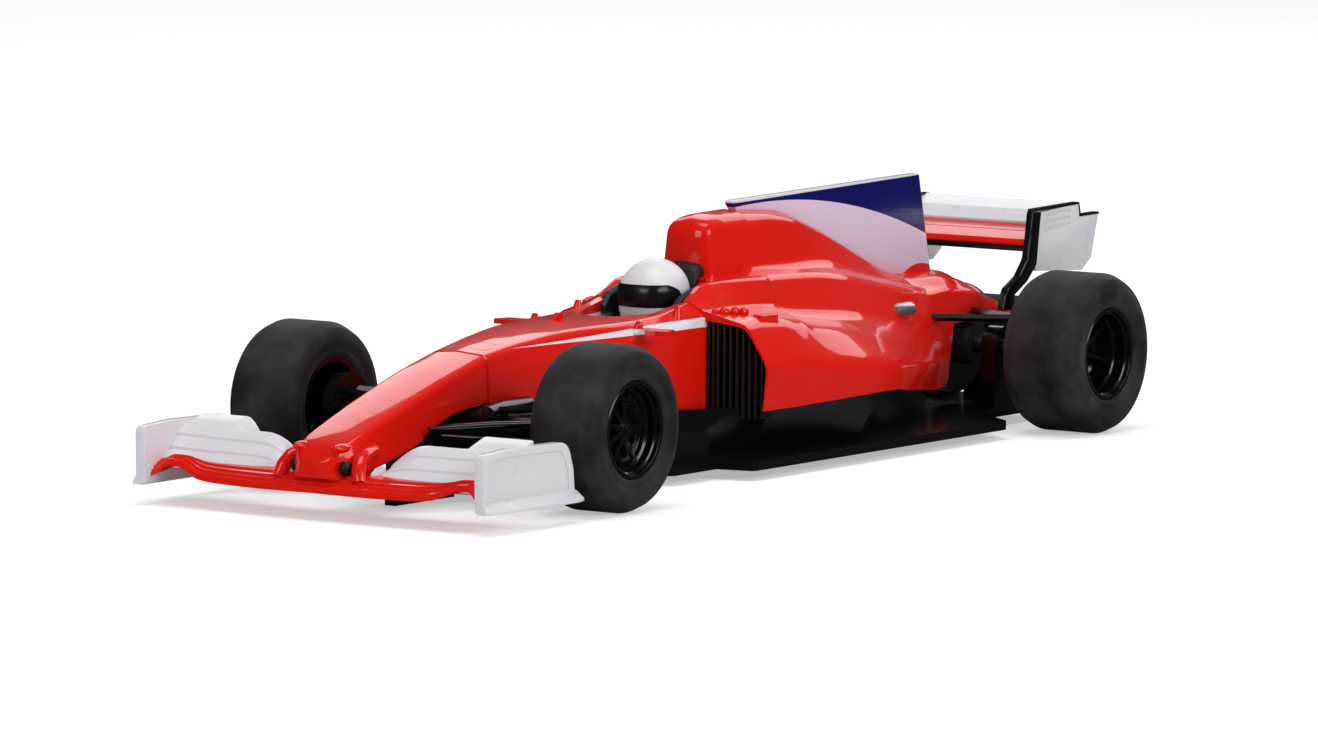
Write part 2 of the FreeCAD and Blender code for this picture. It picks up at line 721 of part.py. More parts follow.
def cover_form():
    """The engine cover with both pods, as a solid."""
    wires = []
    for number, row in enumerate(COVER_SHARES):
        wires.append(symmetric(eased(cover_corners(number)), across(station(row[0]))))
    return swept(loft(wires), 0.0)


def hollow_wire(corners, x):
    """The wire of a hollow inside a half outline, one wall smaller and open below."""
    half = inset_points([corner[:2] for corner in corners], WALL)
    half[-1] = (half[-1][0], corners[-1][1] - OVERRUN)
    return symmetric(half + [(0.0, half[-1][1])], across(x))


def cover_inside():
    """The space inside the cover and the pods, open below."""
    front = amount(GEAR_SPACE_FRONT)
    kept = [number for number, row in enumerate(COVER_SHARES) if station(row[0]) > front]
    wires = []
    for number in kept + [kept[-1] + 1]:
        setback = 0.0 if number else WALL
        wires.append(hollow_wire(cover_corners(number), station(COVER_SHARES[number][0]) - setback))
    return swept(loft(wires), WALL)


def tub_inside():
    """The space inside the chassis ahead of the pods, open below."""
    wires = []
    for number, (share, crown, *edges) in enumerate(TUB_SHARES):
        setback = 0.0 if number else WALL
        wires.append(hollow_wire(corner_row(crown, edges, TUB), station(share) - setback))
    return loft(wires)


def front_form(rows, wide):
    """A loft of the chassis or the nose, whose rows share one form."""
    wires = []
    for share, crown, *edges in rows:
        wires.append(symmetric(eased(corner_row(crown, edges, wide)), across(station(share))))
    return loft(wires)


def airbox_form():
    """The closed arch of the airbox behind the driver's head."""
    wires = []
    low = AIRBOX_FOOT_SHARE * ROOF
    for share, crown, wide, high, cut_back, foot in AIRBOX_SHARES:
        half = eased(corner_row(crown, (wide, high, cut_back, foot, AIRBOX_FOOT_SHARE), TUB))
        wires.append(symmetric(half + [(0.0, low)], across(station(share))))
    return loft(wires)


def axle_space():
    """What is cut away under the tail for the rear axle and around the crown gear."""
    back = REAR_END
    front = amount(GEAR_SPACE_FRONT)
    wide = 2 * TUB
    height = amount("rear_tyre_radius")
    top = amount("rear_tyre_radius + gear_hub_radius + tail_clearance")
    box = Part.makeBox(front - back, 2 * wide, top, Vector(back, -wide, 0))
    start = amount(f"{GEAR_TIP} - tail_clearance")
    end = amount(f"{GEAR_FACE} + gear_disc_thickness + tail_clearance")
    disc = cylinder(front - REAR_AXLE_X, end - start, Vector(REAR_AXLE_X, start, height), Vector(0, 1, 0))
    return box.fuse(disc)


def hull_outer():
    """The body's outer form without openings."""
    return cover_form().fuse([front_form(TUB_SHARES, TUB), airbox_form()]).cut(axle_space())


# Station and half width (of the cockpit) of the opening, from the front to the back
COCKPIT_SHARES = [(0.262, 0.30), (0.335, 1.00), (0.440, 1.00)]
COCKPIT_CORNER_SHARE = 0.2


def cockpit_outline(grow, height):
    """The opening over the driver, in plan a long drop with a blunt rear end, grown by a margin."""
    half = amount("cockpit_half_width")
    corner = COCKPIT_CORNER_SHARE * half
    ends = [grow] + [0.0] * (len(COCKPIT_SHARES) - 2) + [-grow]
    left = [(station(row[0]) + end, row[1] * half + grow) for row, end in zip(COCKPIT_SHARES, ends)]
    corners = [(x, y, corner) for x, y in left] + [(x, -y, corner) for x, y in reversed(left)]
    return rounded(corners, level(height))


def cockpit_cut():
    """The space over the cockpit's opening."""
    low = amount("cockpit_floor_height")
    return slab(cockpit_outline(0.0, low), Vector(0, 0, ROOF - low))


# Corners of a pod's inlet: half width (of the pod), height (of the roof), cut-back (of the panel corner)
INLET_SHARES = [
    (0.546, 0.267, 0.214),
    (0.546, 0.605, 0.357),
    (0.799, 0.572, 0.857),
    (0.931, 0.428, 1.0),
    (0.908, 0.267, 0.286),
]


def inlet_form(inset, setback, deep):
    """The left pod's inlet drawn in by an inset, from a setback behind the pod's front and some way deep."""
    wide = amount("pod_half_width")
    valley = COVER_SHARES[0][-3] * TUB
    lean = amount("pod_front_sweep") / (wide - valley)
    front = station(COVER_SHARES[0][0]) - setback
    cut = amount("panel_corner")
    spots = eased([(u * wide, v * ROOF, share * cut) for u, v, share in INLET_SHARES], closed=True)
    middle = Vector(sum(u for u, v in spots), sum(v for u, v in spots), 0) / len(spots)
    ring = []
    for u, v in spots:
        drawn = Vector(u, v, 0) + (middle - Vector(u, v, 0)).normalize() * inset
        ring.append(Vector(front - lean * (drawn.x - valley), drawn.x, drawn.y))
    return slab(Part.makePolygon(ring + ring[:1]), Vector(-deep, 0, 0))


def body_shell(outer):
    """The thin body moulding: tub, side pods and engine cover, open below and over the driver."""
    inlet = inlet_form(0.0, -OVERRUN, OVERRUN + 2 * WALL)
    openings = [cover_inside(), tub_inside(), cockpit_cut(), inlet, mirrored(inlet)]
    whole = outer
    for opening in openings:
        whole = whole.cut(opening)
    return feature("body_shell", whole)


# Nose. Station; crown (of the roof); top edge and side: half width (of the nose), height (of the roof) and
# cut-back (of the panel corner); foot: half width and height
NOSE_SHARES = [
    (0.0076, 0.569, 0.86, 0.558, 0.683, 0.94, 0.472, 0.12, 0.96, 0.374),
    (-0.0491, 0.52, 0.87, 0.508, 0.664, 0.91, 0.425, 0.107, 0.93, 0.352),
    (-0.0893, 0.48, 0.85, 0.469, 0.665, 0.89, 0.393, 0.107, 0.92, 0.311),
    (-0.125, 0.442, 0.84, 0.431, 0.659, 0.89, 0.346, 0.107, 0.93, 0.248),
    (-0.1652, 0.396, 0.81, 0.387, 0.632, 0.89, 0.299, 0.107, 0.96, 0.214),
    (-0.2009, 0.354, 0.77, 0.344, 0.517, 0.89, 0.267, 0.107, 0.99, 0.189),
    (-0.2321, 0.313, 0.72, 0.305, 0.43, 0.86, 0.239, 0.107, 0.98, 0.173),
    (-0.2473, 0.288, 0.66, 0.28, 0.373, 0.78, 0.226, 0.125, 0.84, 0.17),
    (-0.258, 0.258, 0.52, 0.252, 0.332, 0.6, 0.214, 0.121, 0.64, 0.173),
    (-0.2634, 0.233, 0.32, 0.23, 0.22, 0.38, 0.208, 0.107, 0.4, 0.182),
]


def profile(rows, low, tall):
    """Corners of a side view: station, height (of tall, over low) and rounding (of the plate corner)."""
    corner = amount("plate_corner")
    return [(station(share), low + high * tall, round_share * corner) for share, high, round_share in rows]


# Corners of a pylon under the nose: station, height (of the roof), rounding; and its place (of the nose)
PYLON_SHARES = [(-0.245, 0.123, 0), (-0.245, 0.19, 0), (-0.20, 0.20, 0), (-0.20, 0.132, 0)]
PYLON_PLACE_SHARE = 0.7


def nose_cone(wing_form):
    """The nose from its tip to the panel joint at the front axle, with two pylons down to the front wing."""
    wide = amount("nose_half_width")
    corners = profile(PYLON_SHARES, 0, ROOF)
    pylon = slab(rounded(corners, along(PYLON_PLACE_SHARE * wide)), Vector(0, amount("pylon_thickness"), 0))
    whole = front_form(NOSE_SHARES, wide).fuse([pylon, mirrored(pylon)]).cut(wing_form)
    return feature("nose_cone", whole)


# Corners of the fin: station, height (of the fin), rounding
FIN_SHARES = [
    (0.545, 0.968, 0),
    (0.952, 1.0, 0),
    (0.981, 0.55, 0),
    (0.9, 0.52, 0),
    (0.72, 0.78, 0),
    (0.6, 0.9, 0),
]


def engine_cover_fin(shell_form):
    """The tall thin fin on the engine cover, seated on the cover's own surface."""
    tall = amount("roof_height + fin_rise")
    thick = amount("fin_thickness")
    plate = slab(rounded(profile(FIN_SHARES, 0, tall), along(-thick / 2)), Vector(0, thick, 0))
    return feature("engine_cover_fin", plate.cut(shell_form))


# Station, inner and outer end (of the tub) and height (of the roof) of a mirror
MIRROR_SHARES = (0.265, 0.6, 1.15, 0.6)


def mirrors(shell_form):
    """A small mirror wing on each side of the cockpit, on a stub that ends at the body."""
    long = amount("mirror_length")
    thick = amount("mirror_thickness")
    span = amount("mirror_span")
    share, inner_share, outer_share, high = MIRROR_SHARES
    x, inner, y, z = station(share), inner_share * TUB, outer_share * TUB, high * ROOF
    blade = Part.makeBox(long, span, thick, Vector(x - long / 2, y, z))
    blade = blade.makeChamfer(thick / 4, blade.Edges)
    stub = Part.makeBox(long / 2, y - inner + span / 4, thick / 2, Vector(x - long / 4, inner, z + thick / 4))
    whole = blade.fuse(stub).cut(shell_form)
    return feature("mirrors", Part.makeCompound([whole, mirrored(whole)]))


def radiator_grilles():
    """A ribbed panel in each pod's inlet."""
    gap = amount("seat_gap")
    thick = amount("grille_thickness")
    rib = amount("grille_rib")
    deep = amount("grille_rib_depth")
    count = int(amount("grille_ribs"))
    panel = inlet_form(gap, WALL, thick)
    space = inlet_form(gap, WALL - deep, deep)
    low = Vector(space.BoundBox.XMin, space.BoundBox.YMin, space.BoundBox.ZMin)
    pitch = space.BoundBox.YLength / count
    bars = []
    for number in range(count):
        shift = Vector(0, (number + 1 / 2) * pitch - rib / 2, 0)
        bars.append(Part.makeBox(space.BoundBox.XLength, rib, space.BoundBox.ZLength, low + shift))
    panel = panel.fuse(Part.makeCompound(bars).common(space)).removeSplitter()
    return feature("radiator_grilles", Part.makeCompound([panel, mirrored(panel)]))


# Station, half width (of the tub) and height (of the roof) where an exhaust starts, and its direction
EXHAUST_SHARES = (0.80, 0.86, 0.535)
EXHAUST_AIM_SHARES = (-1, 0.12, 0.06)


def exhaust_tips(shell_form):
    """A short pipe that leaves each side of the engine cover near the rear wheels."""
    share, wide, high = EXHAUST_SHARES
    length = amount("exhaust_length")
    start = Vector(station(share), wide * TUB, high * ROOF)
    aim = Vector(*EXHAUST_AIM_SHARES)
    pipe = cylinder(amount("exhaust_radius"), length, start, aim)
    bore = cylinder(amount("exhaust_bore"), length, start + aim * WALL, aim)
    tip = pipe.cut([bore, shell_form])
    return feature("exhaust_tips", Part.makeCompound([tip, mirrored(tip)]))


# Driver and cockpit

HELMET_SHARE = 0.392
# Height of the helmet's lower edge under its middle (of its half height)
HELMET_FOOT_SHARE = 0.85
# Shoulders: how far they reach ahead of the helmet's middle and how far the neck slopes (of their length)
TORSO_AHEAD_SHARE = 0.6
TORSO_NECK_SHARE = 0.75


def helmet_form(grow):
    """The helmet's egg, grown by a margin."""
    ball = Part.makeSphere(1.0)
    scale = FreeCAD.Matrix()
    scale.scale(
        amount("helmet_half_length") + grow,
        amount("helmet_half_width") + grow,
        amount("helmet_half_height") + grow,
    )
    egg = ball.transformGeometry(scale)
    egg.translate(Vector(station(HELMET_SHARE), 0, amount("helmet_centre_height")))
    return egg


def driver():
    """The helmet with its visor, and the driver's shoulders below."""
    proud = amount("visor_proud")
    centre = Vector(station(HELMET_SHARE), 0, amount("helmet_centre_height"))
    drop = HELMET_FOOT_SHARE * amount("helmet_half_height")
    reach = 2 * amount("helmet_half_length")
    tall = amount("visor_height")
    band = Part.makeBox(reach, 2 * reach, tall, Vector(centre.x, -reach, centre.z - tall / 2))
    base = Part.makeBox(2 * reach, 2 * reach, reach, centre - Vector(reach, reach, reach + drop))
    helmet = helmet_form(0).cut(base)
    visor = helmet_form(proud).cut(helmet_form(0)).common(band)
    feature("helmet", helmet)
    feature("visor", visor)
    long = amount("torso_length")
    half = amount("torso_half_width")
    low = amount("cockpit_floor_height + wall + seat_gap")
    high = centre.z - drop
    front = centre.x + TORSO_AHEAD_SHARE * long
    corners = [
        (front, low, 0),
        (front - long, low, 0),
        (front - long, high, amount("plate_corner")),
        (front - TORSO_NECK_SHARE * long, high, 0),
        (front, low + WALL, 0),
    ]
    feature("driver_torso", slab(rounded(corners, along(-half)), Vector(0, 2 * half, 0)))


TRAY_TOP_SHARE = 0.57


def cockpit_tray():
    """The dark well that the driver sits in, open at the top."""
    low = amount("cockpit_floor_height")
    tall = TRAY_TOP_SHARE * ROOF - low
    outer = slab(cockpit_outline(0.0, low), Vector(0, 0, tall))
    inner = slab(cockpit_outline(-WALL / 2, low + WALL), Vector(0, 0, tall))
    return feature("cockpit_tray", outer.cut(inner))


# Station of the pads' rear end and their height (of the roof)
PAD_SHARES = (0.432, 0.625)


def headrest_pads():
    """A padded cheek on each side of the helmet, inside the cockpit's rim."""
    thick = amount("pad_thickness")
    half = amount("cockpit_half_width")
    share, high = PAD_SHARES
    corner = Vector(station(share), half - thick, high * ROOF)
    block = Part.makeBox(amount("pad_length"), thick, amount("pad_height"), corner)
    block = block.makeChamfer(thick / 3, block.Edges)
    return feature("headrest_pads", Part.makeCompound([block, mirrored(block)]))


# Underpan

# Station, top edge (of the roof), foot and top half width (of the pod)
FLANK_SHARES = [
    (0.070, 0.36, 0.26, 0.33),
    (0.155, 0.34, 0.36, 0.42),
    (0.245, 0.28, 0.46, 0.49),
    (0.350, 0.262, 0.58, 0.60),
    (0.430, 0.262, 0.70, 0.91),
    (0.660, 0.262, 0.72, 0.92),
    (0.760, 0.245, 0.56, 0.70),
    (0.850, 0.21, 0.40, 0.49),
    (0.895, 0.19, 0.34, 0.36),
]


def flank(inset):
    """The black lower body between the floor and the painted shell, or its inside."""
    wires = []
    half = amount("pod_half_width")
    for number, (share, top, foot, head) in enumerate(FLANK_SHARES):
        setback = {0: inset, len(FLANK_SHARES) - 1: -inset}.get(number, 0.0)
        high = top * ROOF + (OVERRUN if inset else 0)
        corners = [
            (inset - foot * half, FLOOR_TOP, 0),
            (foot * half - inset, FLOOR_TOP, 0),
            (head * half - inset, high, 0),
            (inset - head * half, high, 0),
        ]
        wires.append(rounded(corners, across(station(share) - setback)))
    return loft(wires)


# Corners of the floor's left half: station, rounding (of the plate corner)
KEEL_SHARES = [(0.07, 0), (0.225, 0)]
TRAY_SHARES = [(0.235, 1), (0.325, 0)]
SILL_SHARES = [(0.335, 1), (0.875, 1)]
DIFFUSER_SHARES = [(0.935, 1), (1.115, 0)]


def floor_plate():
    """The flat floor, in plan a tray at the front, wide sills and a narrow diffuser."""
    corner = amount("plate_corner")
    bands = [
        (KEEL_SHARES, "tongue_half_width"),
        (TRAY_SHARES, "tray_half_width"),
        (SILL_SHARES, "floor_half_width"),
        (DIFFUSER_SHARES, "diffuser_half_width"),
    ]
    left = [(station(share), amount(name), turned * corner) for rows, name in bands for share, turned in rows]
    corners = left + [(x, -y, radius) for x, y, radius in reversed(left)]
    return slab(rounded(corners, level(amount("floor_height"))), Vector(0, 0, amount("floor_thickness")))


def rear_posts():
    """Two posts that carry the rear axle in plain bores."""
    wide = amount("post_width")
    radius = amount("axle_radius + bearing_wall")
    height = amount("rear_tyre_radius")
    y = amount("diffuser_half_width") - wide
    post = Part.makeBox(2 * radius, wide, height - FLOOR_TOP, Vector(REAR_AXLE_X - radius, y, FLOOR_TOP))
    eye = cylinder(radius, wide, Vector(REAR_AXLE_X, y, height), Vector(0, 1, 0))
    start = Vector(REAR_AXLE_X, y - OVERRUN, height)
    bore = cylinder(amount("axle_radius + axle_clearance"), wide + 2 * OVERRUN, start, Vector(0, 1, 0))
    return post.fuse(eye).cut(bore)


BOSS_SHARE = 0.34


def underpan(shell_form):
    """The black lower moulding: floor, flanks, axle posts, plinth boss and motor seat."""
    plate = floor_plate()
    walls = flank(0).cut([shell_form, flank(WALL)])
    gap = amount("seat_gap")
    walls = Part.makeCompound([wall for wall in walls.Solids if wall.distToShape(plate)[0] < gap])
    post = rear_posts()
    deep = amount("plinth_hole_depth")
    boss_foot = Vector(station(BOSS_SHARE), 0, FLOOR_TOP)
    hole_foot = Vector(station(BOSS_SHARE), 0, amount("floor_height"))
    boss = cylinder(amount("plinth_boss_radius"), deep, boss_foot, Vector(0, 0, 1))
    hole = cylinder(amount("plinth_hole_radius"), deep, hole_foot, Vector(0, 0, 1))
    seat_height = amount("rear_tyre_radius - motor_height / 2 - seat_gap") - FLOOR_TOP
    long, wide = amount("motor_length"), amount("motor_width / 2")
    cradle = Part.makeBox(long, wide, seat_height, Vector(amount(MOTOR_BACK), -wide / 2, FLOOR_TOP))
    whole = plate.fuse([walls, post, mirrored(post), boss, cradle]).cut(hole)
    return feature("underpan", whole.removeSplitter())


# Corners of a bargeboard: station, height (of the board, over the floor), rounding
BARGEBOARD_SHARES = [(0.32, 0, 0), (0.245, 0, 0), (0.2575, 1.0, 1), (0.32, 0.8, 0)]


def bargeboards():
    """An upright fin on each side of the floor's front tray."""
    thick = amount("bargeboard_thickness")
    y = amount("tray_half_width") - 2 * thick
    corners = profile(BARGEBOARD_SHARES, FLOOR_TOP, amount("bargeboard_height"))
    board = slab(rounded(corners, along(y)), Vector(0, thick, 0))
    return feature("bargeboards", Part.makeCompound([board, mirrored(board)]))


# Front end

# Stations and top (of the roof) of the block round the front axle; its underside rises ahead of its rear end
CARRIER_BACK_SHARE = 0.068
CARRIER_RISE_SHARE = 0.035
CARRIER_FRONT_SHARE = -0.030
CARRIER_TOP_SHARE = 0.355


def front_axle_carrier(shell_form, nose_form):
    """The block that carries the front axle, with a tongue and a boss for the guide's post."""
    half = amount("carrier_half_width")
    narrow = amount("tongue_half_width")
    low = amount("tongue_height")
    thick = amount("tongue_thickness")
    pivot = amount(GUIDE_PIVOT)
    top = CARRIER_TOP_SHARE * ROOF
    block = [
        (station(CARRIER_BACK_SHARE), FLOOR_TOP, 0),
        (station(CARRIER_RISE_SHARE), low, 0),
        (station(CARRIER_FRONT_SHARE), low, 0),
        (station(CARRIER_FRONT_SHARE), top, amount("plate_corner")),
        (station(CARRIER_BACK_SHARE), top, 0),
    ]
    body = slab(rounded(block, along(-half)), Vector(0, 2 * half, 0))
    up = Vector(0, 0, 1)
    tongue = Part.makeBox(pivot - FRONT_AXLE_X, 2 * narrow, thick, Vector(FRONT_AXLE_X, -narrow, low))
    nose = cylinder(narrow, thick, Vector(pivot, 0, low), up)
    radius = amount("guide_post_radius + guide_clearance")
    boss_tall = amount("guide_boss_top") - low
    boss = cylinder(radius + amount("guide_boss_wall"), boss_tall, Vector(pivot, 0, low), up)
    post = cylinder(radius, ROOF, Vector(pivot, 0, 0), up)
    start = Vector(FRONT_AXLE_X, -2 * half, amount("front_tyre_radius"))
    axle = cylinder(amount("axle_radius + axle_clearance"), 4 * half, start, Vector(0, 1, 0))
    whole = body.fuse([tongue, nose, boss]).cut([post, axle, shell_form, nose_form])
    return feature("front_axle_carrier", whole.removeSplitter())


def arm(start, end, chord, thick):
    """A flat streamlined bar between two points."""
    ahead = Vector(1, 0, 0)
    up = Vector(0, 0, 1)
    wires = []
    for spot in (start, end):
        corners = [(-chord / 2, 0, 0), (0, -thick / 2, 0), (chord / 2, 0, 0), (0, thick / 2, 0)]
        wires.append(rounded(corners, lambda u, v: spot + ahead * u + up * v))
    return loft(wires)


# Front arms: root and end ahead of the axle (of the wheelbase), height over the axle (of the drum's radius),
# rise towards the wheel (of the arm's thickness)
FRONT_ARM_SHARES = [
    (-0.060, -0.010, -0.6, 0),
    (0.0273, 0.0045, -0.6, 0),
    (-0.060, -0.010, 0.25, 1),
    (0.0273, 0.0045, 0.25, 1),
]


def front_suspension(word, side):
    """Upper and lower wishbones and the brake drum beside a front wheel."""
    chord = amount("arm_chord")
    thick = amount("arm_thickness")
    height = amount("front_tyre_radius")
    inner_face = amount("track_outer / 2 - front_tyre_width - wheel_gap")
    deep = amount("upright_thickness")
    radius = amount("upright_radius")
    root = amount("carrier_half_width")
    across_car = Vector(0, 1, 0)
    drum = cylinder(radius, deep, Vector(FRONT_AXLE_X, inner_face - deep, height), across_car)
    parts = []
    for root_share, end_share, high, rise in FRONT_ARM_SHARES:
        z = height + high * radius
        start = Vector(station(-root_share), root, z)
        end = Vector(station(-end_share), inner_face - deep / 2, z + rise * thick)
        parts.append(arm(start, end, chord, thick))
    axle_hole = amount("axle_radius + axle_clearance + seat_gap")
    bore = cylinder(axle_hole, 2 * inner_face, Vector(FRONT_AXLE_X, 0, height), across_car)
    whole = drum.fuse(parts).cut(bore)
    if side < 0:
        whole = mirrored(whole)
    return feature(f"front_suspension_{word}", whole)


def guide():
    """The guide: a round post, a boat-shaped flag below it and the upper part of its blade."""
    low = "(tongue_height - guide_running_gap - guide_flag_thickness)"
    body = new_body("guide", GUIDE_PIVOT, "0", "0")
    half, wide = "(guide_flag_length / 2)", "(guide_flag_width / 2)"
    corners = [
        (f"-{half}", f"-{wide} / 2"),
        (f"-{half} / 2", f"-{wide}"),
        (f"{half} / 2", f"-{wide}"),
        (half, f"-{wide} / 3"),
        (half, f"{wide} / 3"),
        (f"{half} / 2", wide),
        (f"-{half} / 2", wide),
        (f"-{half}", f"{wide} / 2"),
    ]
    pad(body, sketch(body, "XY_Plane", corners, low), "guide_flag_thickness")
    long, thin = "(guide_blade_length / 2)", "(guide_blade_thickness / 2)"
    blade = [(f"-{long}", f"-{thin}"), (long, f"-{thin}"), (long, thin), (f"-{long}", thin)]
    pad(body, sketch(body, "XY_Plane", blade, "guide_floor_gap"), f"{low} - guide_floor_gap")
    pad(body, circle(body, "XY_Plane", "guide_post_radius", low), f"guide_boss_top - {low}")
    return body


def guide_braids():
    """The two copper braids under the flag, one on each side of the blade."""
    top = "(tongue_height - guide_running_gap - guide_flag_thickness)"
    made = []
    for number, sign in enumerate(("1", "-1")):
        strip = doc.addObject("Part::Box", f"Braid{number}")
        strip.setExpression("Length", bound("guide_blade_length"))
        strip.setExpression("Width", bound("braid_width"))
        strip.setExpression("Height", bound("braid_thickness"))
        strip.setExpression("Placement.Base.x", bound(f"{GUIDE_PIVOT} - guide_blade_length / 2"))
        middle = f"{sign} * (guide_blade_thickness / 2 + seat_gap + braid_width / 2)"
        strip.setExpression("Placement.Base.y", bound(f"{middle} - braid_width / 2"))
        strip.setExpression("Placement.Base.z", bound(f"{top} - braid_thickness"))
        made.append(strip)
    joined = doc.addObject("Part::MultiFuse", "guide_braids")
    joined.Label = "guide_braids"
    joined.Shapes = made
    return joined


# Front wing

WING_FRONT_SHARE = -0.267
# Along the half span: share of it, leading edge set back (of the chord), lift (of the arch)
FRONT_WING_SHARES = [
    (0.0, 0.0, 0.0),
    (0.20, 0.0, 0.0),
    (0.66, 0.11, 0.12),
    (0.72, 0.13, 0.45),
    (0.81, 0.17, 1.0),
    (0.885, 0.19, 1.0),
    (0.925, 0.21, 0.12),
    (1.04, 0.26, 0.0),
]
# Along the half span: share of it, leading edge's station, lead behind the wing's front, rise of the rear edge
FRONT_FLAP_SHARES = [
    (0.29, 0.0100, 0.16),
    (0.33, 0.0105, 0.62),
    (0.40, 0.0110, 0.88),
    (0.50, 0.0120, 1.0),
    (0.80, 0.0200, 1.08),
    (1.04, 0.0260, 1.10),
]
FLAP_BACK_SHARE = -0.180
# Steps on the flap's top, from its rear edge to its front: share of the chord, height over the underside
# (of the flap's thickness)
FLAP_STEP_SHARES = [(1.0, 0.35), (0.67, 1.1), (0.67, 0.75), (0.34, 1.15), (0.34, 0.8), (0.0, 0.6)]
# Along the half span of the small upper vane: share of it, stations of its front and rear edge
CASCADE_SHARES = [(0.65, -0.196, -0.172), (0.70, -0.203, -0.167), (1.04, -0.206, -0.164)]


def wing_section(front, back, low, high, thick, y):
    """A flat-bottomed wing section with a round nose and a thin raised tail."""
    corners = [
        (front, low, thick / 3),
        (front, low + thick, thick / 3),
        (back, high + thick / 3, 0),
        (back, high, 0),
    ]
    return rounded(corners, along(y), chamfered=True)


def inboard(form, plate):
    """What of a wing form lies on the car's side of an endplate."""
    return min(form.cut(plate).Solids, key=lambda solid: solid.CenterOfMass.y)


def front_wing_plane(plate):
    """The wide red main plane, arched near its tips, between the endplates."""
    span = amount("front_wing_half_span")
    chord = amount("front_wing_chord")
    thick = amount("front_wing_thickness")
    nose = station(WING_FRONT_SHARE)
    wires = []
    for share, back, lift in FRONT_WING_SHARES:
        low = amount("front_wing_height") + lift * amount("front_wing_arch")
        wires.append(wing_section(nose - back * chord, nose - chord, low, low + thick, thick, share * span))
    half = inboard(loft(wires), plate)
    return feature("front_wing_plane", half.fuse(mirrored(half)).removeSplitter())


def flap_section(front, back, low, high, thick, y):
    """A flap's section, whose top climbs towards the rear in three steps."""
    corners = [(front, low, 0), (back, high, 0)]
    for share, rise in FLAP_STEP_SHARES:
        corners.append((front + share * (back - front), low + share * (high - low) + rise * thick, 0))
    return rounded(corners, along(y))


def front_wing_flap(word, side, plate):
    """The stepped white flap between the nose and an endplate, with the small vane over it."""
    span = amount("front_wing_half_span")
    thick = amount("front_flap_thickness")
    low = amount("front_wing_height + front_wing_thickness + front_flap_gap")
    rise = amount("front_flap_rise")
    back = station(FLAP_BACK_SHARE)
    wires = []
    for share, lead, climb in FRONT_FLAP_SHARES:
        front = station(WING_FRONT_SHARE + lead)
        wires.append(flap_section(front, back, low, low + climb * rise, thick, share * span))
    vane_low = low + rise - thick / 4
    vane_wires = []
    for share, front_share, back_share in CASCADE_SHARES:
        y = share * span
        high = vane_low + amount("cascade_rise")
        vane_wires.append(wing_section(station(front_share), station(back_share), vane_low, high, thick / 2, y))
    whole = inboard(loft(wires).fuse(loft(vane_wires)), plate)
    if side < 0:
        whole = mirrored(whole)
    return feature(f"front_wing_flap_{word}", whole)


# Corners of the front endplate: length behind its nose (of the plate), height (of the plate), rounding
FRONT_PLATE_SHARES = [
    (0.0, 0.08, 0),
    (0.0, 0.96, 0.6),
    (0.30, 1.0, 0),
    (0.82, 0.985, 3.0),
    (0.985, 0.42, 0.8),
    (1.0, 0.04, 0),
    (0.14, 0.0, 0),
]
FOOT_START_SHARE = 0.16


def front_plate_form():
    """The left endplate at the front wing's tip, toed out towards its rear, with a foot along its low edge."""
    long = amount("front_plate_length")
    tall = amount("front_plate_height")
    thick = amount("front_plate_thickness")
    low = amount("front_plate_low")
    corner = amount("plate_corner")
    corners = [(-share * long, low + high * tall, curve * corner) for share, high, curve in FRONT_PLATE_SHARES]
    plate = slab(rounded(corners, along(0.0)), Vector(0, thick, 0))
    foot_long = long * (1 - FOOT_START_SHARE)
    foot_low = low + FRONT_PLATE_SHARES[0][1] * tall
    foot = Part.makeBox(foot_long, thick + amount("front_plate_foot"), thick / 2, Vector(-long, 0, foot_low))
    plate = plate.fuse(foot)
    plate.rotate(Vector(), Vector(0, 0, 1), -amount("front_plate_toe"))
    nose = FRONT_END - thick * math.sin(math.radians(amount("front_plate_toe")))
    plate.translate(Vector(nose, amount("front_wing_half_span - front_plate_thickness"), 0))
    return plate


def front_wing_endplate(word, side):
    """An upright plate at a front wing tip."""
    plate = front_plate_form()
    if side < 0:
        plate = mirrored(plate)
    return feature(f"front_wing_endplate_{word}", plate)


# Rear end

# Corners of the crash structure behind its front: station, height (of it, over the floor), rounding
CRASH_SHARES = [(1.125, 0, 0), (1.175, 0.652, 1), (1.175, 1.0, 1)]
# Corners of a strake: station, height (of the strake, over the floor), rounding
STRAKE_SHARES = [(1.035, 0, 0), (1.115, 0, 0), (1.13, 1.0, 1), (1.08, 1.0, 1)]
# Where the strakes stand (of the diffuser's half width)
STRAKE_PLACE_SHARES = [0.45, 0.95]
BEAM_FRONT_SHARE = 1.115


def gearbox():
    """The closed rear crash structure behind the axle, on the diffuser, that holds the beam wing."""
    half = amount("crash_half_width")
    top = amount("crash_height")
    front = station(COVER_SHARES[-1][0]) - amount("seat_gap")
    corners = [(front, FLOOR_TOP, 0)] + profile(CRASH_SHARES, FLOOR_TOP, top - FLOOR_TOP) + [(front, top, 0)]
    return feature("rear_crash_structure", slab(rounded(corners, along(-half)), Vector(0, 2 * half, 0)))


def diffuser_strakes():
    """Thin upright fins on the diffuser's sides."""
    thick = amount("strake_thickness")
    corners = profile(STRAKE_SHARES, FLOOR_TOP, amount("strake_height"))
    made = []
    for share in STRAKE_PLACE_SHARES:
        y = share * amount("diffuser_half_width") - thick
        strake = slab(rounded(corners, along(y)), Vector(0, thick, 0))
        made += [strake, mirrored(strake)]
    return feature("diffuser_strakes", Part.makeCompound(made))


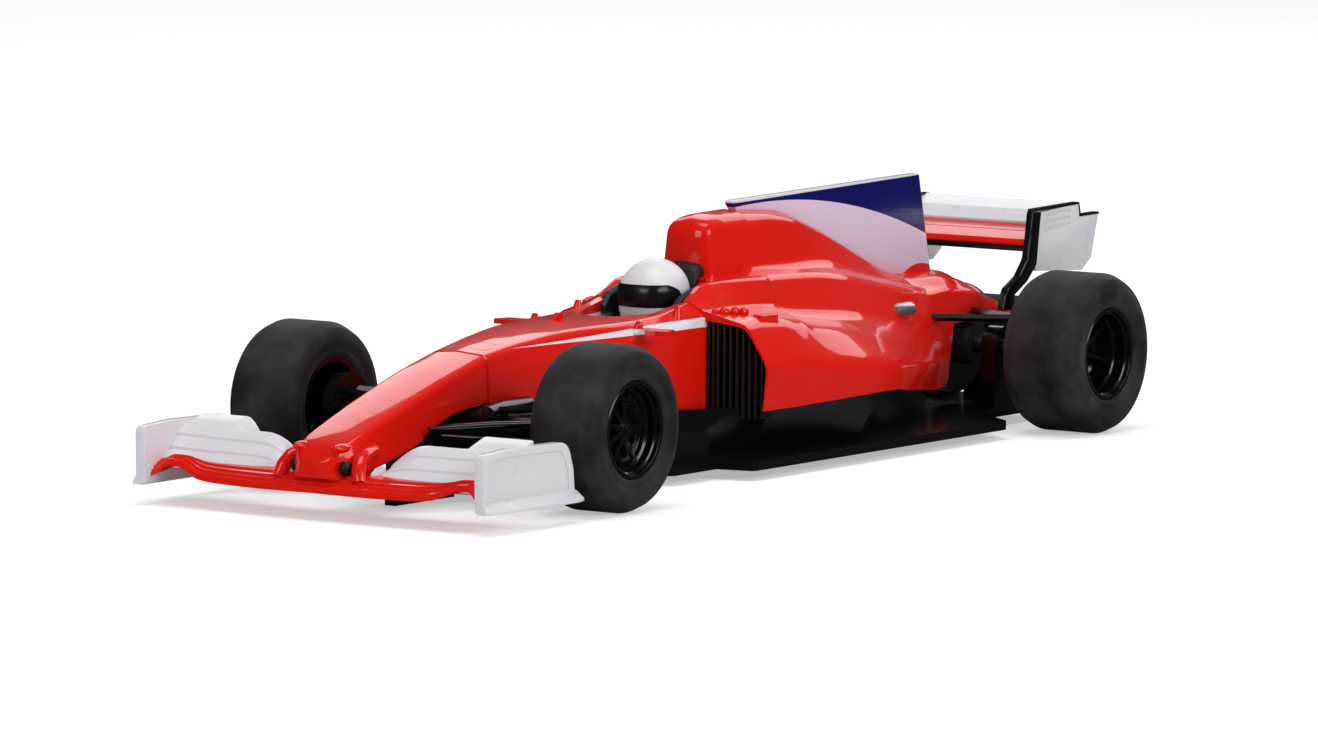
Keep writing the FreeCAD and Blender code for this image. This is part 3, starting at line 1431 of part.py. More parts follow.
def beam_wing():
    """The low wing across the rear, on the crash structure."""
    half = amount(f"{REAR_WING_HALF_SPAN} - rear_plate_thickness")
    z = amount("crash_height")
    thick = amount("beam_thickness")
    front = station(BEAM_FRONT_SHARE)
    wire = wing_section(front, front - amount("beam_chord"), z, z + thick, thick, -half)
    return feature("beam_wing", slab(wire, Vector(0, 2 * half, 0)))


# Stations of the front and rear edge, heights of the two edges (of the wing)
REAR_MAIN_SHARES = (1.035, 1.10, 0.794, 0.881)
REAR_FLAP_SHARES = (1.095, 1.14, 0.907, 0.985)


def rear_plane(label, shares):
    """A rear wing element between the endplates."""
    half = amount(f"{REAR_WING_HALF_SPAN} - rear_plate_thickness")
    tall = amount("rear_wing_height")
    front, back, low, high = shares
    thick = amount("rear_plane_thickness")
    wire = wing_section(station(front), station(back), low * tall, high * tall, thick, -half)
    return feature(label, slab(wire, Vector(0, 2 * half, 0)))


REAR_ARM_SHARE = 0.475
# Root and end of a rear arm: station and half width (of the tub), and the station at the wheel
REAR_ARM_SHARES = [(0.88, 0.5, 0.945), (1.0, 0.5, 0.955)]
# Corners of the rear endplate: station, height (of the wing), rounding
REAR_PLATE_SHARES = [
    (1.042, 0.990, 0.5),
    (1.1455, 1.0, 0),
    (1.148, 0.940, 0),
    (1.192, 0.940, 0),
    (1.177, 0.735, 0.5),
    (1.155, 0.683, 1),
    (1.050, 0.700, 1),
    (1.027, 0.672, 1),
    (0.998, 0.600, 0),
]
# Foot of the endplate's leg on the rear arm: stations of its two corners; then the leg's front edge
REAR_LEG_SHARES = (0.985, 0.968)
REAR_LEG_FRONT_SHARES = [(0.978, 0.620, 1), (1.014, 0.690, 1), (1.028, 0.760, 1)]


def rear_wing_endplate(word, side):
    """A tall endplate with a stepped upper edge and a leg that sweeps down to the rear arm."""
    tall = amount("rear_wing_height")
    thick = amount("rear_plate_thickness")
    foot = REAR_ARM_SHARE * ROOF + amount("arm_thickness / 2")
    corners = profile(REAR_PLATE_SHARES, 0, tall) + [(station(share), foot, 0) for share in REAR_LEG_SHARES]
    corners += profile(REAR_LEG_FRONT_SHARES, 0, tall)
    y = amount(f"{REAR_WING_HALF_SPAN} - rear_plate_thickness")
    plate = slab(rounded(corners, along(y)), Vector(0, thick, 0))
    if side < 0:
        plate = mirrored(plate)
    return feature(f"rear_wing_endplate_{word}", plate)


def rear_suspension(word, side, shell_form):
    """The arms that reach from the body's side to the inside of a rear wheel."""
    z = REAR_ARM_SHARE * ROOF
    wheel = amount("track_outer / 2 - rear_tyre_width - wheel_gap")
    arms = []
    for share, wide, end_share in REAR_ARM_SHARES:
        start, end = Vector(station(share), wide * TUB, z), Vector(station(end_share), wheel, z)
        arms.append(arm(start, end, amount("arm_chord"), amount("arm_thickness")))
    whole = arms[0].fuse(arms[1:]).cut(shell_form)
    if side < 0:
        whole = mirrored(whole)
    return feature(f"rear_suspension_{word}", whole)


def magnet():
    """The traction magnet, seated in the floor ahead of the rear axle."""
    body = new_body("magnet", f"{REAR_AXLE} + wheelbase * magnet_share", "0", "floor_height + floor_thickness")
    long, wide = "(magnet_length / 2)", "(magnet_width / 2)"
    corners = [(f"-{long}", f"-{wide}"), (long, f"-{wide}"), (long, wide), (f"-{long}", wide)]
    pad(body, sketch(body, "XY_Plane", corners), "magnet_thickness")
    return body


def build():
    """All sub-parts of the car."""
    shell_form = hull_outer()
    plate = front_plate_form()
    wing = front_wing_plane(plate)
    nose = nose_cone(wing.Shape)
    body_shell(shell_form)
    engine_cover_fin(shell_form)
    mirrors(shell_form)
    radiator_grilles()
    exhaust_tips(shell_form)
    driver()
    cockpit_tray()
    headrest_pads()
    underpan(shell_form)
    bargeboards()
    front_axle_carrier(shell_form, nose.Shape)
    guide()
    guide_braids()
    for word, side in (("left", 1), ("right", -1)):
        front_suspension(word, side)
        front_wing_flap(word, side, plate)
        front_wing_endplate(word, side)
        rear_suspension(word, side, shell_form)
        rear_wing_endplate(word, side)
    gearbox()
    diffuser_strakes()
    beam_wing()
    rear_plane("rear_wing_main", REAR_MAIN_SHARES)
    rear_plane("rear_wing_flap", REAR_FLAP_SHARES)
    wheels()
    crown_gear()
    pinion()
    motor()
    motor_shaft()
    magnet()


def check_and_write():
    """Stops on a failed or invalid object, then writes each sub-part's file."""
    doc.recompute()
    for item in doc.Objects:
        if "Invalid" in item.State or "Error" in item.State:
            raise RuntimeError(f"{item.Label}: {item.State}")
    os.makedirs("parts", exist_ok=True)
    for item in doc.Objects:
        if item.TypeId not in ("Part::Feature", "PartDesign::Body", "Part::MultiFuse"):
            continue
        shape = item.Shape
        if shape.isNull() or not shape.isValid() or not shape.Solids:
            raise RuntimeError(f"{item.Label}: no valid solid")
        shape.exportStep(f"parts/{item.Label}.step")
        box = shape.BoundBox
        print(item.Label, len(shape.Solids), round(shape.Volume, 2),
              [round(value, 2) for value in (box.XMin, box.XMax, box.YMin, box.YMax, box.ZMin, box.ZMax)])


build()
check_and_write()
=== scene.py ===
"""The looks of a 1:32 toy open wheel racing car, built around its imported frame.

Shapes are written in millimetres in the frame's axes: X forward, Y to the car's left, Z up.
"""
import json
import math

import bmesh
import bpy
from mathutils import Matrix, Vector


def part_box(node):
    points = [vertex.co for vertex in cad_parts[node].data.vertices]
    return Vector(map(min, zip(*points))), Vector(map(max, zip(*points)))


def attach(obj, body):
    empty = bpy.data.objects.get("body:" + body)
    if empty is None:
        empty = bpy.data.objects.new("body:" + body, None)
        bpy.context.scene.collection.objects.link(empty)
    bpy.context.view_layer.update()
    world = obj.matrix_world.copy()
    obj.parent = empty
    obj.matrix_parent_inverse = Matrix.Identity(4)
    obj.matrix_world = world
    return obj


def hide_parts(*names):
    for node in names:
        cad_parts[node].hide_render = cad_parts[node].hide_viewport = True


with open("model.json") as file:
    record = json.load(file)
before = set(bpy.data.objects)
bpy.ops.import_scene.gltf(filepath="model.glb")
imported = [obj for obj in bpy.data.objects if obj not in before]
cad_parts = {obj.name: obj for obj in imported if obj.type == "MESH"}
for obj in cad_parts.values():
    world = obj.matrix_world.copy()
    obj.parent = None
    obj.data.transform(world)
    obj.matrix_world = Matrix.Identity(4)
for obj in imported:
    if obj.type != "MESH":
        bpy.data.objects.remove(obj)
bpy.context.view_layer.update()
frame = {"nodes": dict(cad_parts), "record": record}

MM = 0.001
# Distances in millimetres at which points become one, and at which they count as on the car's middle
WELD = 0.001
MIDPLANE = 1e-6
SMOOTH_ANGLE = math.radians(32)
BEVEL_ANGLE = math.radians(35)
SIDES = (1, -1)
# X and Z of the rear axle
REAR_AXLE = (-60.5, 10.6)


def axle_of(node):
    """The X and Z of the middle of a node, in millimetres."""
    low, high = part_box(node)
    return (low.x + high.x) / 2 / MM, (low.z + high.z) / 2 / MM


# Materials

class Graph:
    """Short words for building one material's nodes."""

    def __init__(self, name):
        self.material = bpy.data.materials.new(name)
        self.material.use_nodes = True
        self.tree = self.material.node_tree
        self.shader = self.tree.nodes["Principled BSDF"]
        self.output = self.tree.nodes["Material Output"]
        self.place = self.tree.nodes.new("ShaderNodeTexCoord").outputs["Object"]

    def feed(self, socket, value):
        """Gives a socket a number, a colour or another socket."""
        if isinstance(value, bpy.types.NodeSocket):
            self.tree.links.new(value, socket)
        else:
            socket.default_value = value

    def finish(self, values):
        """Feeds the shader's inputs by their names."""
        for name, value in values.items():
            self.feed(self.shader.inputs[name], value)

    def node(self, kind, *values, **named):
        """A new node, with its first inputs and its named ones fed."""
        made = self.tree.nodes.new("ShaderNode" + kind)
        for key, value in [*enumerate(values), *named.items()]:
            self.feed(made.inputs[key], value)
        return made

    def calc(self, operation, *values):
        """A Math node."""
        node = self.node("Math", *values)
        node.operation = operation
        return node.outputs[0]

    def all_of(self, first, *others):
        """1 where every test is 1, otherwise 0."""
        for other in others:
            first = self.calc("MULTIPLY", first, other)
        return first

    def blend(self, share, first, second):
        """A colour between two, by a share."""
        node = self.tree.nodes.new("ShaderNodeMix")
        node.data_type = "RGBA"
        self.feed(node.inputs["Factor"], share)
        self.feed(node.inputs["A"], first)
        self.feed(node.inputs["B"], second)
        return node.outputs["Result"]

    def spread(self, value, low, high, to_low, to_high):
        """A value moved from one range to another."""
        return self.node("MapRange", value, low, high, to_low, to_high).outputs["Result"]

    def axes(self):
        """The surface point's X, Y and Z in millimetres."""
        node = self.node("SeparateXYZ", self.place)
        return [self.calc("MULTIPLY", output, 1 / MM) for output in node.outputs]

    def noise(self, size, detail=2.0, stretch=None):
        """Noise whose grains are about size millimetres."""
        place = self.place
        if stretch:
            place = self.node("Mapping", Vector=place, Scale=stretch).outputs[0]
        return self.node("TexNoise", Vector=place, Scale=1 / (size * MM), Detail=detail).outputs["Fac"]

    def bump(self, height, depth):
        """Relief of a depth in millimetres."""
        self.finish({"Normal": self.node("Bump", Distance=depth * MM, Height=height).outputs[0]})


def tone(red, green, blue):
    """A colour from its screen values, 0 to 255."""
    def linear(value):
        value /= 255
        return value / 12.92 if value <= 0.04045 else ((value + 0.055) / 1.055) ** 2.4
    return (linear(red), linear(green), linear(blue), 1.0)


def mixed(colour, share, other):
    """A colour moved by a share towards another."""
    return tuple(a + (b - a) * share for a, b in zip(colour, other))


BLACK = (0.0, 0.0, 0.0, 1.0)
PURE_WHITE = (1.0, 1.0, 1.0, 1.0)
WHITE = tone(231, 228, 235)
RED = tone(231, 23, 6)
NAVY = tone(9, 9, 102)
LILAC = tone(234, 214, 238)
CHARCOAL = tone(22, 21, 24)
DUST = tone(92, 90, 94)

# Grain sizes in millimetres: drift of a colour, patches of gloss, a moulded skin, handling marks, scratches
CLOUD = 9.0
GLOSS_PATCH = 2.0
GRAIN = 0.5
MARKS = 5.0
RUBBER_GRAIN = 0.35
SCRATCHES = 0.3
# The range that most noise lies in
NOISE_RANGE = (0.3, 0.7)
# How much gloss varies
UNEVEN = (0.85, 1.15)
COAT_ROUGH = 0.05
COATED_SPECULAR = 0.25


def clouded(made, colour, drift):
    """A colour that darkens by up to a share in soft clouds."""
    return made.blend(made.noise(CLOUD), mixed(colour, drift, BLACK), colour)


def skin(made, paint, rough, coat=0.0, depth=0.0, metal=0.0):
    """Gives a plastic its paint, an uneven gloss, a clear coat and a fine relief."""
    gloss = made.spread(made.noise(GLOSS_PATCH), *NOISE_RANGE, *(rough * share for share in UNEVEN))
    made.finish({
        "Base Color": paint, "Roughness": gloss, "Metallic": metal, "Coat Weight": coat,
        "Coat Roughness": COAT_ROUGH,
    })
    if coat:
        made.finish({"Specular IOR Level": COATED_SPECULAR})
    if depth:
        made.bump(made.noise(GRAIN), depth)
    return made.material


def plastic(name, colour, rough, drift=0.06, **finish):
    """Moulded or painted plastic of one colour."""
    made = Graph(name)
    return skin(made, clouded(made, colour, drift), rough, **finish)


def rubber(name):
    """Matte slick rubber with handling marks and a fine skin."""
    made = Graph(name)
    marks = made.noise(MARKS, 4.0)
    dusty = mixed(CHARCOAL, 0.3, DUST)
    made.finish({
        "Base Color": made.blend(made.spread(marks, 0.35, 0.7, 0.0, 1.0), CHARCOAL, dusty),
        "Roughness": made.spread(marks, *NOISE_RANGE, 0.62, 0.78),
        "Sheen Weight": 0.05, "Sheen Roughness": 0.5, "Specular IOR Level": 0.3,
    })
    made.bump(made.noise(RUBBER_GRAIN, 3.0), 0.02)
    return made.material


def metal(name, colour, rough, brushed):
    """Bare metal with fine scratches, drawn out along the axes whose scale is small."""
    made = Graph(name)
    streaks = made.noise(SCRATCHES, 3.0, brushed)
    made.finish({
        "Base Color": made.blend(streaks, mixed(colour, 0.2, BLACK), colour), "Metallic": 1.0,
        "Roughness": made.spread(streaks, *NOISE_RANGE, rough * 0.8, rough * 1.3),
    })
    made.bump(streaks, 0.004)
    return made.material


# The pale stripe on the chassis: its tip (x, z), its rear end (x, top z, low z) and its range of y
STRIPE_TIP = (45.4, 18.3)
STRIPE_TAIL = (8.2, 19.75, 18.45)
STRIPE_SIDES = (4.0, 9.3)
SPECULAR_UNDER_RED = 0.1


def body_paint(name):
    """Gloss red with the pale stripe that widens along the chassis side."""
    made = Graph(name)
    x, y, z = made.axes()
    side = made.calc("ABSOLUTE", y)
    tip_x, tip_z = STRIPE_TIP
    tail_x, tail_top, tail_low = STRIPE_TAIL
    stripe = made.all_of(
        made.calc("LESS_THAN", z, made.spread(x, tip_x, tail_x, tip_z, tail_top)),
        made.calc("GREATER_THAN", z, made.spread(x, tip_x, tail_x, tip_z, tail_low)),
        made.calc("GREATER_THAN", x, tail_x),
        made.calc("GREATER_THAN", side, STRIPE_SIDES[0]),
        made.calc("LESS_THAN", side, STRIPE_SIDES[1]),
    )
    finished = skin(made, made.blend(stripe, clouded(made, RED, 0.06), WHITE), 0.4, coat=0.8)
    made.finish({"Specular IOR Level": SPECULAR_UNDER_RED})
    return finished


# Circles (x, z, radius) whose insides are the pale sweep and the red flare on the fin
NAVY_EDGE = (-18.0, -82.2, 114.3)
RED_FLARE = (-55.3, 13.3, 8.15)
# Height of the white top edge at the fin's front and rear (x, z)
FIN_FRONT = (-12.0, 32.4)
FIN_REAR = (-55.0, 33.25)


def fin_paint(name):
    """The fin's bands: a red flare below, a pale sweep, a navy upper corner and a white top edge."""
    made = Graph(name)
    x, _, z = made.axes()

    def within(circle):
        middle_x, middle_z, radius = circle
        squares = []
        for value, middle in ((x, middle_x), (z, middle_z)):
            away = made.calc("SUBTRACT", value, middle)
            squares.append(made.calc("MULTIPLY", away, away))
        return made.calc("LESS_THAN", made.calc("SQRT", made.calc("ADD", *squares)), radius)

    bands = made.blend(within(RED_FLARE), made.blend(within(NAVY_EDGE), NAVY, LILAC), RED)
    edge = made.spread(x, FIN_FRONT[0], FIN_REAR[0], FIN_FRONT[1], FIN_REAR[1])
    top = made.calc("GREATER_THAN", z, edge)
    return skin(made, made.blend(top, bands, WHITE), 0.35, coat=0.6)


FLOOR_TONE = (0.86, 0.86, 0.87, 1.0)
FLOOR_IN_GLOSS = (0.05, 0.05, 0.052, 1.0)
FLOOR_ROUGH = 0.5
FLOOR_GLOW = 0.5
FLOOR_MIRROR = 0.14
FLOOR_MIRROR_ROUGH = 0.06


def floor_paint(name):
    """A pale floor with a faint reflection, which looks darker to the car's own glossy skins."""
    made = Graph(name)
    path = made.node("LightPath")
    seen = path.outputs["Is Camera Ray"]
    made.finish({
        "Base Color": made.blend(path.outputs["Is Glossy Ray"], FLOOR_TONE, FLOOR_IN_GLOSS),
        "Roughness": FLOOR_ROUGH, "Specular IOR Level": 0.0,
    })
    glow = made.node("Emission", Color=PURE_WHITE, Strength=made.calc("MULTIPLY", seen, FLOOR_GLOW))
    lit = made.node("AddShader", made.shader.outputs[0], glow.outputs[0])
    mirror = made.node("BsdfGlossy", Color=PURE_WHITE, Roughness=FLOOR_MIRROR_ROUGH)
    share = made.calc("MULTIPLY", seen, FLOOR_MIRROR)
    both = made.node("MixShader", share, lit.outputs[0], mirror.outputs[0])
    made.feed(made.output.inputs["Surface"], both.outputs[0])
    return made.material


MATERIALS = {
    "red_plastic": body_paint("red_plastic"),
    "white_plastic": plastic("white_plastic", WHITE, 0.32, coat=0.5, drift=0.03),
    "black_plastic": plastic("black_plastic", tone(14, 14, 15), 0.22, coat=0.3, depth=0.006),
    "fin_plastic": fin_paint("fin_plastic"),
    "silver_white": plastic("silver_white", tone(226, 226, 233), 0.3, coat=0.4, drift=0.03),
    "silver_plastic": plastic("silver_plastic", tone(186, 188, 192), 0.3, metal=0.85),
    "helmet_white": plastic("helmet_white", tone(235, 235, 241), 0.4, coat=0.2, drift=0.04),
    "visor_black": plastic("visor_black", tone(16, 16, 18), 0.26),
    "cockpit_black": plastic("cockpit_black", tone(20, 20, 21), 0.5, depth=0.01),
    "tyre": rubber("tyre"),
    "rim_plastic": plastic("rim_plastic", tone(13, 13, 14), 0.18, coat=0.5),
    "steel": metal("steel", tone(176, 178, 184), 0.25, (1.0, 0.05, 1.0)),
    "gear_plastic": plastic("gear_plastic", tone(52, 54, 58), 0.4),
    "guide_plastic": plastic("guide_plastic", tone(20, 20, 21), 0.4, depth=0.008),
    "braid_copper": metal("braid_copper", tone(196, 124, 82), 0.4, (0.2, 2.0, 1.0)),
    "pinion_brass": metal("pinion_brass", tone(208, 172, 92), 0.28, (0.05, 1.0, 1.0)),
    "motor_can": metal("motor_can", tone(168, 170, 176), 0.35, (0.2, 1.0, 1.0)),
    "magnet_iron": metal("magnet_iron", tone(96, 96, 100), 0.45, (1.0, 1.0, 1.0)),
}

for part in frame["record"]["subparts"]:
    shown = frame["nodes"][part["node"]]
    shown.data.materials.clear()
    shown.data.materials.append(MATERIALS[part["material_slot"]])


# Mesh tools

def placed(name, data):
    """A new object in the scene that carries a mesh, a lamp or a camera."""
    made = bpy.data.objects.new(name, data)
    bpy.context.scene.collection.objects.link(made)
    return made


def new_object(name, points, faces):
    """A mesh object from points in millimetres, with its faces turned outwards."""
    mesh = bpy.data.meshes.new(name)
    mesh.from_pydata([[value * MM for value in point] for point in points], [], faces)
    work = bmesh.new()
    work.from_mesh(mesh)
    bmesh.ops.remove_doubles(work, verts=work.verts, dist=WELD * MM)
    bmesh.ops.recalc_face_normals(work, faces=work.faces)
    work.to_mesh(mesh)
    work.free()
    return placed(name, mesh)


def loft(name, rings, caps=True):
    """A skin over rings of equally many points."""
    count = len(rings[0])
    points = [point for ring in rings for point in ring]
    faces = []
    for i in range(len(rings) - 1):
        for j in range(count):
            k = (j + 1) % count
            faces.append((i * count + j, i * count + k, (i + 1) * count + k, (i + 1) * count + j))
    if caps:
        faces.append(tuple(range(count)))
        faces.append(tuple(range(len(points) - count, len(points))))
    return new_object(name, points, faces)


def around(count):
    """The cosine and sine of evenly spaced angles of a whole turn."""
    angles = [2 * math.pi * step / count for step in range(count)]
    return [(math.cos(angle), math.sin(angle)) for angle in angles]


def turned(name, profile, axle, segments):
    """A closed profile of (y, radius) turned about an axle along Y, which lies at (x, z)."""
    x, z = axle
    rings = [[(x + radius * c, y, z + radius * s) for y, radius in profile] for c, s in around(segments)]
    return loft(name, rings + rings[:1], caps=False)


def apply_modifiers(made):
    """Makes an object's modifiers part of its mesh."""
    bpy.context.view_layer.update()
    graph = bpy.context.evaluated_depsgraph_get()
    mesh = bpy.data.meshes.new_from_object(made.evaluated_get(graph))
    made.modifiers.clear()
    made.data = mesh
    return made


def combined(made, others, operation):
    """The exact union or difference of an object with others, which are used up."""
    for other in others:
        step = made.modifiers.new("Combine", "BOOLEAN")
        step.operation = operation
        step.solver = "EXACT"
        step.object = other
        apply_modifiers(made)
        bpy.data.objects.remove(other)
    return made


def joined(name, parts):
    """Several objects as one, with their meshes side by side."""
    work = bmesh.new()
    for part in parts:
        work.from_mesh(part.data)
        bpy.data.objects.remove(part)
    mesh = bpy.data.meshes.new(name)
    work.to_mesh(mesh)
    work.free()
    return placed(name, mesh)


def mirrored(made):
    """A copy of an object on the car's other side."""
    mesh = made.data.copy()
    mesh.transform(Matrix.Diagonal((1, -1, 1, 1)))
    mesh.flip_normals()
    return placed(made.name + "_right", mesh)


def paired(name, parts, middle=()):
    """Objects of the left side with their mirror images and what stands in the middle, as one."""
    left = joined(name, parts)
    return joined(name, [left, mirrored(left), *middle])


def bevelled(made, width, segments):
    """Rounds an object's sharp edges."""
    step = made.modifiers.new("Bevel", "BEVEL")
    step.width = width * MM
    step.segments = segments
    step.limit_method = "ANGLE"
    step.angle_limit = BEVEL_ANGLE
    return apply_modifiers(made)


def dress(made, slot, body="chassis", nodes=(), smooth=True):
    """Gives a finished piece its material, its body and the nodes that it stands for."""
    mesh = made.data
    mesh.materials.clear()
    mesh.materials.append(MATERIALS[slot])
    for face in mesh.polygons:
        face.material_index = 0
        face.use_smooth = smooth
    if smooth:
        mesh.set_sharp_from_angle(angle=SMOOTH_ANGLE)
    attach(made, body)
    if nodes:
        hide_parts(*nodes)
    return made


def smooth_rows(table, spots):
    """A table's rows at other first values, on curves that don't overshoot."""
    rows = sorted(table)
    at = [row[0] for row in rows]
    columns = list(zip(*rows))[1:]
    result = []
    for column in columns:
        rise = [(column[i + 1] - column[i]) / (at[i + 1] - at[i]) for i in range(len(at) - 1)]
        slope = [rise[0]]
        for before, after in zip(rise, rise[1:]):
            slope.append(2 * before * after / (before + after) if before * after > 0 else 0.0)
        slope.append(rise[-1])
        values = []
        for spot in spots:
            i = max(0, min(len(at) - 2, sum(1 for value in at if value <= spot) - 1))
            width = at[i + 1] - at[i]
            u = (spot - at[i]) / width
            values.append(
                (2 * u**3 - 3 * u**2 + 1) * column[i] + (u**3 - 2 * u**2 + u) * width * slope[i]
                + (3 * u**2 - 2 * u**3) * column[i + 1] + (u**3 - u**2) * width * slope[i + 1]
            )
        result.append(values)
    return [(spot, *values) for spot, values in zip(spots, zip(*result))]


def span(first, last, count):
    """Evenly spaced values."""
    return [first + (last - first) * i / (count - 1) for i in range(count)]


# The longest share of an edge that one rounded corner takes
CORNER_SHARE = 0.48


def rounded(corners, steps=6, closed=True):
    """Points of an outline whose corners (u, v, radius) are rounded."""
    count = len(corners)
    points = []
    for i, (u, v, radius) in enumerate(corners):
        here = Vector((u, v))
        if not closed and i in (0, count - 1):
            points.append((u, v))
            continue
        back = Vector(corners[i - 1][:2]) - here
        on = Vector(corners[(i + 1) % count][:2]) - here
        longest = CORNER_SHARE * min(back.length, on.length)
        reach = min(radius / math.tan(back.angle(on) / 2), longest) if radius > 0 else 0.0
        first = here + back.normalized() * reach
        last = here + on.normalized() * reach
        for share in span(0, 1, steps + 1):
            spot = first * (1 - share) ** 2 + here * 2 * share * (1 - share) + last * share**2
            points.append((spot.x, spot.y))
    return points


def both_sides(half):
    """A closed outline from its left half, given from the top middle to the bottom middle."""
    return half + [(-y, z) for y, z in half[::-1] if y > MIDPLANE]


def arched(x, corners, steps=6):
    """A section at x from the rounded corners of its left half."""
    return [(x, y, z) for y, z in both_sides(rounded(corners, steps, closed=False))]


def plate(name, outline, axis, levels, steps=6):
    """A flat plate: an outline of rounded corners across Y or Z, between two levels of that axis."""
    flat = rounded(outline, steps)
    if axis == "y":
        return loft(name, [[(u, level, v) for u, v in flat] for level in levels])
    return loft(name, [[(u, v, level) for u, v in flat] for level in levels])


def block(name, low, high):
    """A plain box between two corners."""
    (x0, y0, z0), (x1, y1, z1) = low, high
    return loft(name, [[(x, y0, z0), (x, y1, z0), (x, y1, z1), (x, y0, z1)] for x in (x0, x1)])


def lump(name, middle, radii, steps=(20, 12)):
    """A rounded bump with so many steps around and up."""
    rings = []
    for i in range(1, steps[1]):
        tilt = math.pi * i / steps[1]
        rings.append([(
            middle[0] + radii[0] * math.sin(tilt) * c,
            middle[1] + radii[1] * math.sin(tilt) * s,
            middle[2] + radii[2] * math.cos(tilt),
        ) for c, s in around(steps[0])])
    return loft(name, rings)


# Camera, light and floor

# Place in metres, angles in radians and focal length in the photograph's pixels, fitted to its wheels
CAMERA_PLACE = (0.954360, 0.632339, 0.131683)
CAMERA_YAW = 3.72960277
CAMERA_PITCH = 0.104350659
CAMERA_ROLL = -0.010096179
CAMERA_CLIP = (0.01, 20.0)
SENSOR = 36.0
FOCAL_PIXELS = 9000.0
PHOTO_WIDTH = 1318.0

# Soft boxes: name, place, width and height in metres, watts
BOXES = [
    ("top_box", (0.05, 0.05, 0.85), (0.7, 0.4), 3.2),
    ("back_box", (-0.85, -0.3, 0.62), (1.3, 0.45), 3.6),
    ("near_box", (0.1, 0.95, 0.5), (0.8, 0.4), 4.4),
    ("front_box", (0.95, -0.1, 0.45), (0.5, 0.4), 2.0),
]
BOXES_AIM = Vector((0, 0, 0.015))
# Brightness of the surround as light, in reflections and to the camera
SURROUND = 0.22
SURROUND_IN_GLOSS = 0.03
SURROUND_SEEN = 1.0
FLOOR_HALF = 3000


def add_camera():
    """The camera at the photograph's place, angle and field of view."""
    forward = Vector((
        math.cos(CAMERA_PITCH) * math.cos(CAMERA_YAW),
        math.cos(CAMERA_PITCH) * math.sin(CAMERA_YAW),
        -math.sin(CAMERA_PITCH),
    ))
    level = forward.cross(Vector((0, 0, 1))).normalized()
    down = forward.cross(level)
    right = math.cos(CAMERA_ROLL) * level + math.sin(CAMERA_ROLL) * down
    up = math.sin(CAMERA_ROLL) * level - math.cos(CAMERA_ROLL) * down
    turn = Matrix((right, up, -forward)).transposed().to_4x4()
    lens = bpy.data.cameras.new("camera")
    lens.sensor_width = SENSOR
    lens.sensor_fit = "HORIZONTAL"
    lens.lens = FOCAL_PIXELS / PHOTO_WIDTH * SENSOR
    lens.clip_start, lens.clip_end = CAMERA_CLIP
    made = placed("camera", lens)
    made.matrix_world = Matrix.Translation(CAMERA_PLACE) @ turn
    bpy.context.scene.camera = made


def add_lamp(name, place, size, watts):
    """A soft box of two sides in metres, aimed at the car."""
    data = bpy.data.lights.new(name, "AREA")
    data.shape = "RECTANGLE"
    data.size, data.size_y = size
    data.energy = watts
    made = placed(name, data)
    made.location = place
    made.rotation_euler = (BOXES_AIM - Vector(place)).to_track_quat("-Z", "Y").to_euler()


def add_surround():
    """A plain white surround, which is dimmer as light and in reflections than it looks."""
    world = bpy.data.worlds.new("surround")
    bpy.context.scene.world = world
    world.use_nodes = True
    nodes, links = world.node_tree.nodes, world.node_tree.links
    background = nodes["Background"]
    background.inputs["Color"].default_value = PURE_WHITE
    path = nodes.new("ShaderNodeLightPath")
    plain = nodes.new("ShaderNodeMix")
    links.new(path.outputs["Is Glossy Ray"], plain.inputs["Factor"])
    plain.inputs["A"].default_value = SURROUND
    plain.inputs["B"].default_value = SURROUND_IN_GLOSS
    seen = nodes.new("ShaderNodeMix")
    links.new(path.outputs["Is Camera Ray"], seen.inputs["Factor"])
    links.new(plain.outputs["Result"], seen.inputs["A"])
    seen.inputs["B"].default_value = SURROUND_SEEN
    links.new(seen.outputs["Result"], background.inputs["Strength"])


def add_studio():
    """A pale floor, the surround, and soft boxes above, behind, on the near side and in front."""
    corners = [(x * FLOOR_HALF, y * FLOOR_HALF, 0) for x, y in ((-1, -1), (1, -1), (1, 1), (-1, 1))]
    floor = new_object("floor", corners, [(0, 1, 2, 3)])
    floor.data.materials.append(floor_paint("floor"))
    add_surround()
    for box in BOXES:
        add_lamp(*box)
    bpy.context.scene.view_settings.view_transform = "Standard"


add_camera()
add_studio()


# Tyres

TYRE_BORE = 6.12
TYRE_SEGMENTS = 128
# Points of a slick's section by its bead: inwards from the side, out from the bore, rounding
TYRE_BEAD = [(0.55, 0.0, 0.2), (0.25, 0.45, 0.3), (0.3, 0.9, 0.3)]
# Points by its shoulder: inwards from the side, in from the tread, rounding
TYRE_SHOULDER = [(0.0, 2.2, 1.2), (0.45, 0.75, 1.0), (2.0, 0.0, 1.4)]


def add_tyre(name, body):
    """A slick around its frame node: beads, leaning walls, round shoulders and a flat tread."""
    low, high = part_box(name)
    inner, outer = sorted((abs(low.y) / MM, abs(high.y) / MM))
    side = 1 if high.y > 0 else -1
    radius = (high.z - low.z) / 2 / MM
    half = [(outer - inward, TYRE_BORE + up, corner) for inward, up, corner in TYRE_BEAD]
    half += [(outer - inward, radius - down, corner) for inward, down, corner in TYRE_SHOULDER]
    other = [(inner + outer - y, r, corner) for y, r, corner in half[::-1]]
    profile = [(side * y, r) for y, r in rounded(half + other, 5)]
    dress(turned(name + "_slick", profile, axle_of(name), TYRE_SEGMENTS), "tyre", body, [name])


for end in ("front", "rear"):
    for word in ("left", "right"):
        add_tyre(f"{end}_tyre_{word}", f"{end}_wheels")


# Body

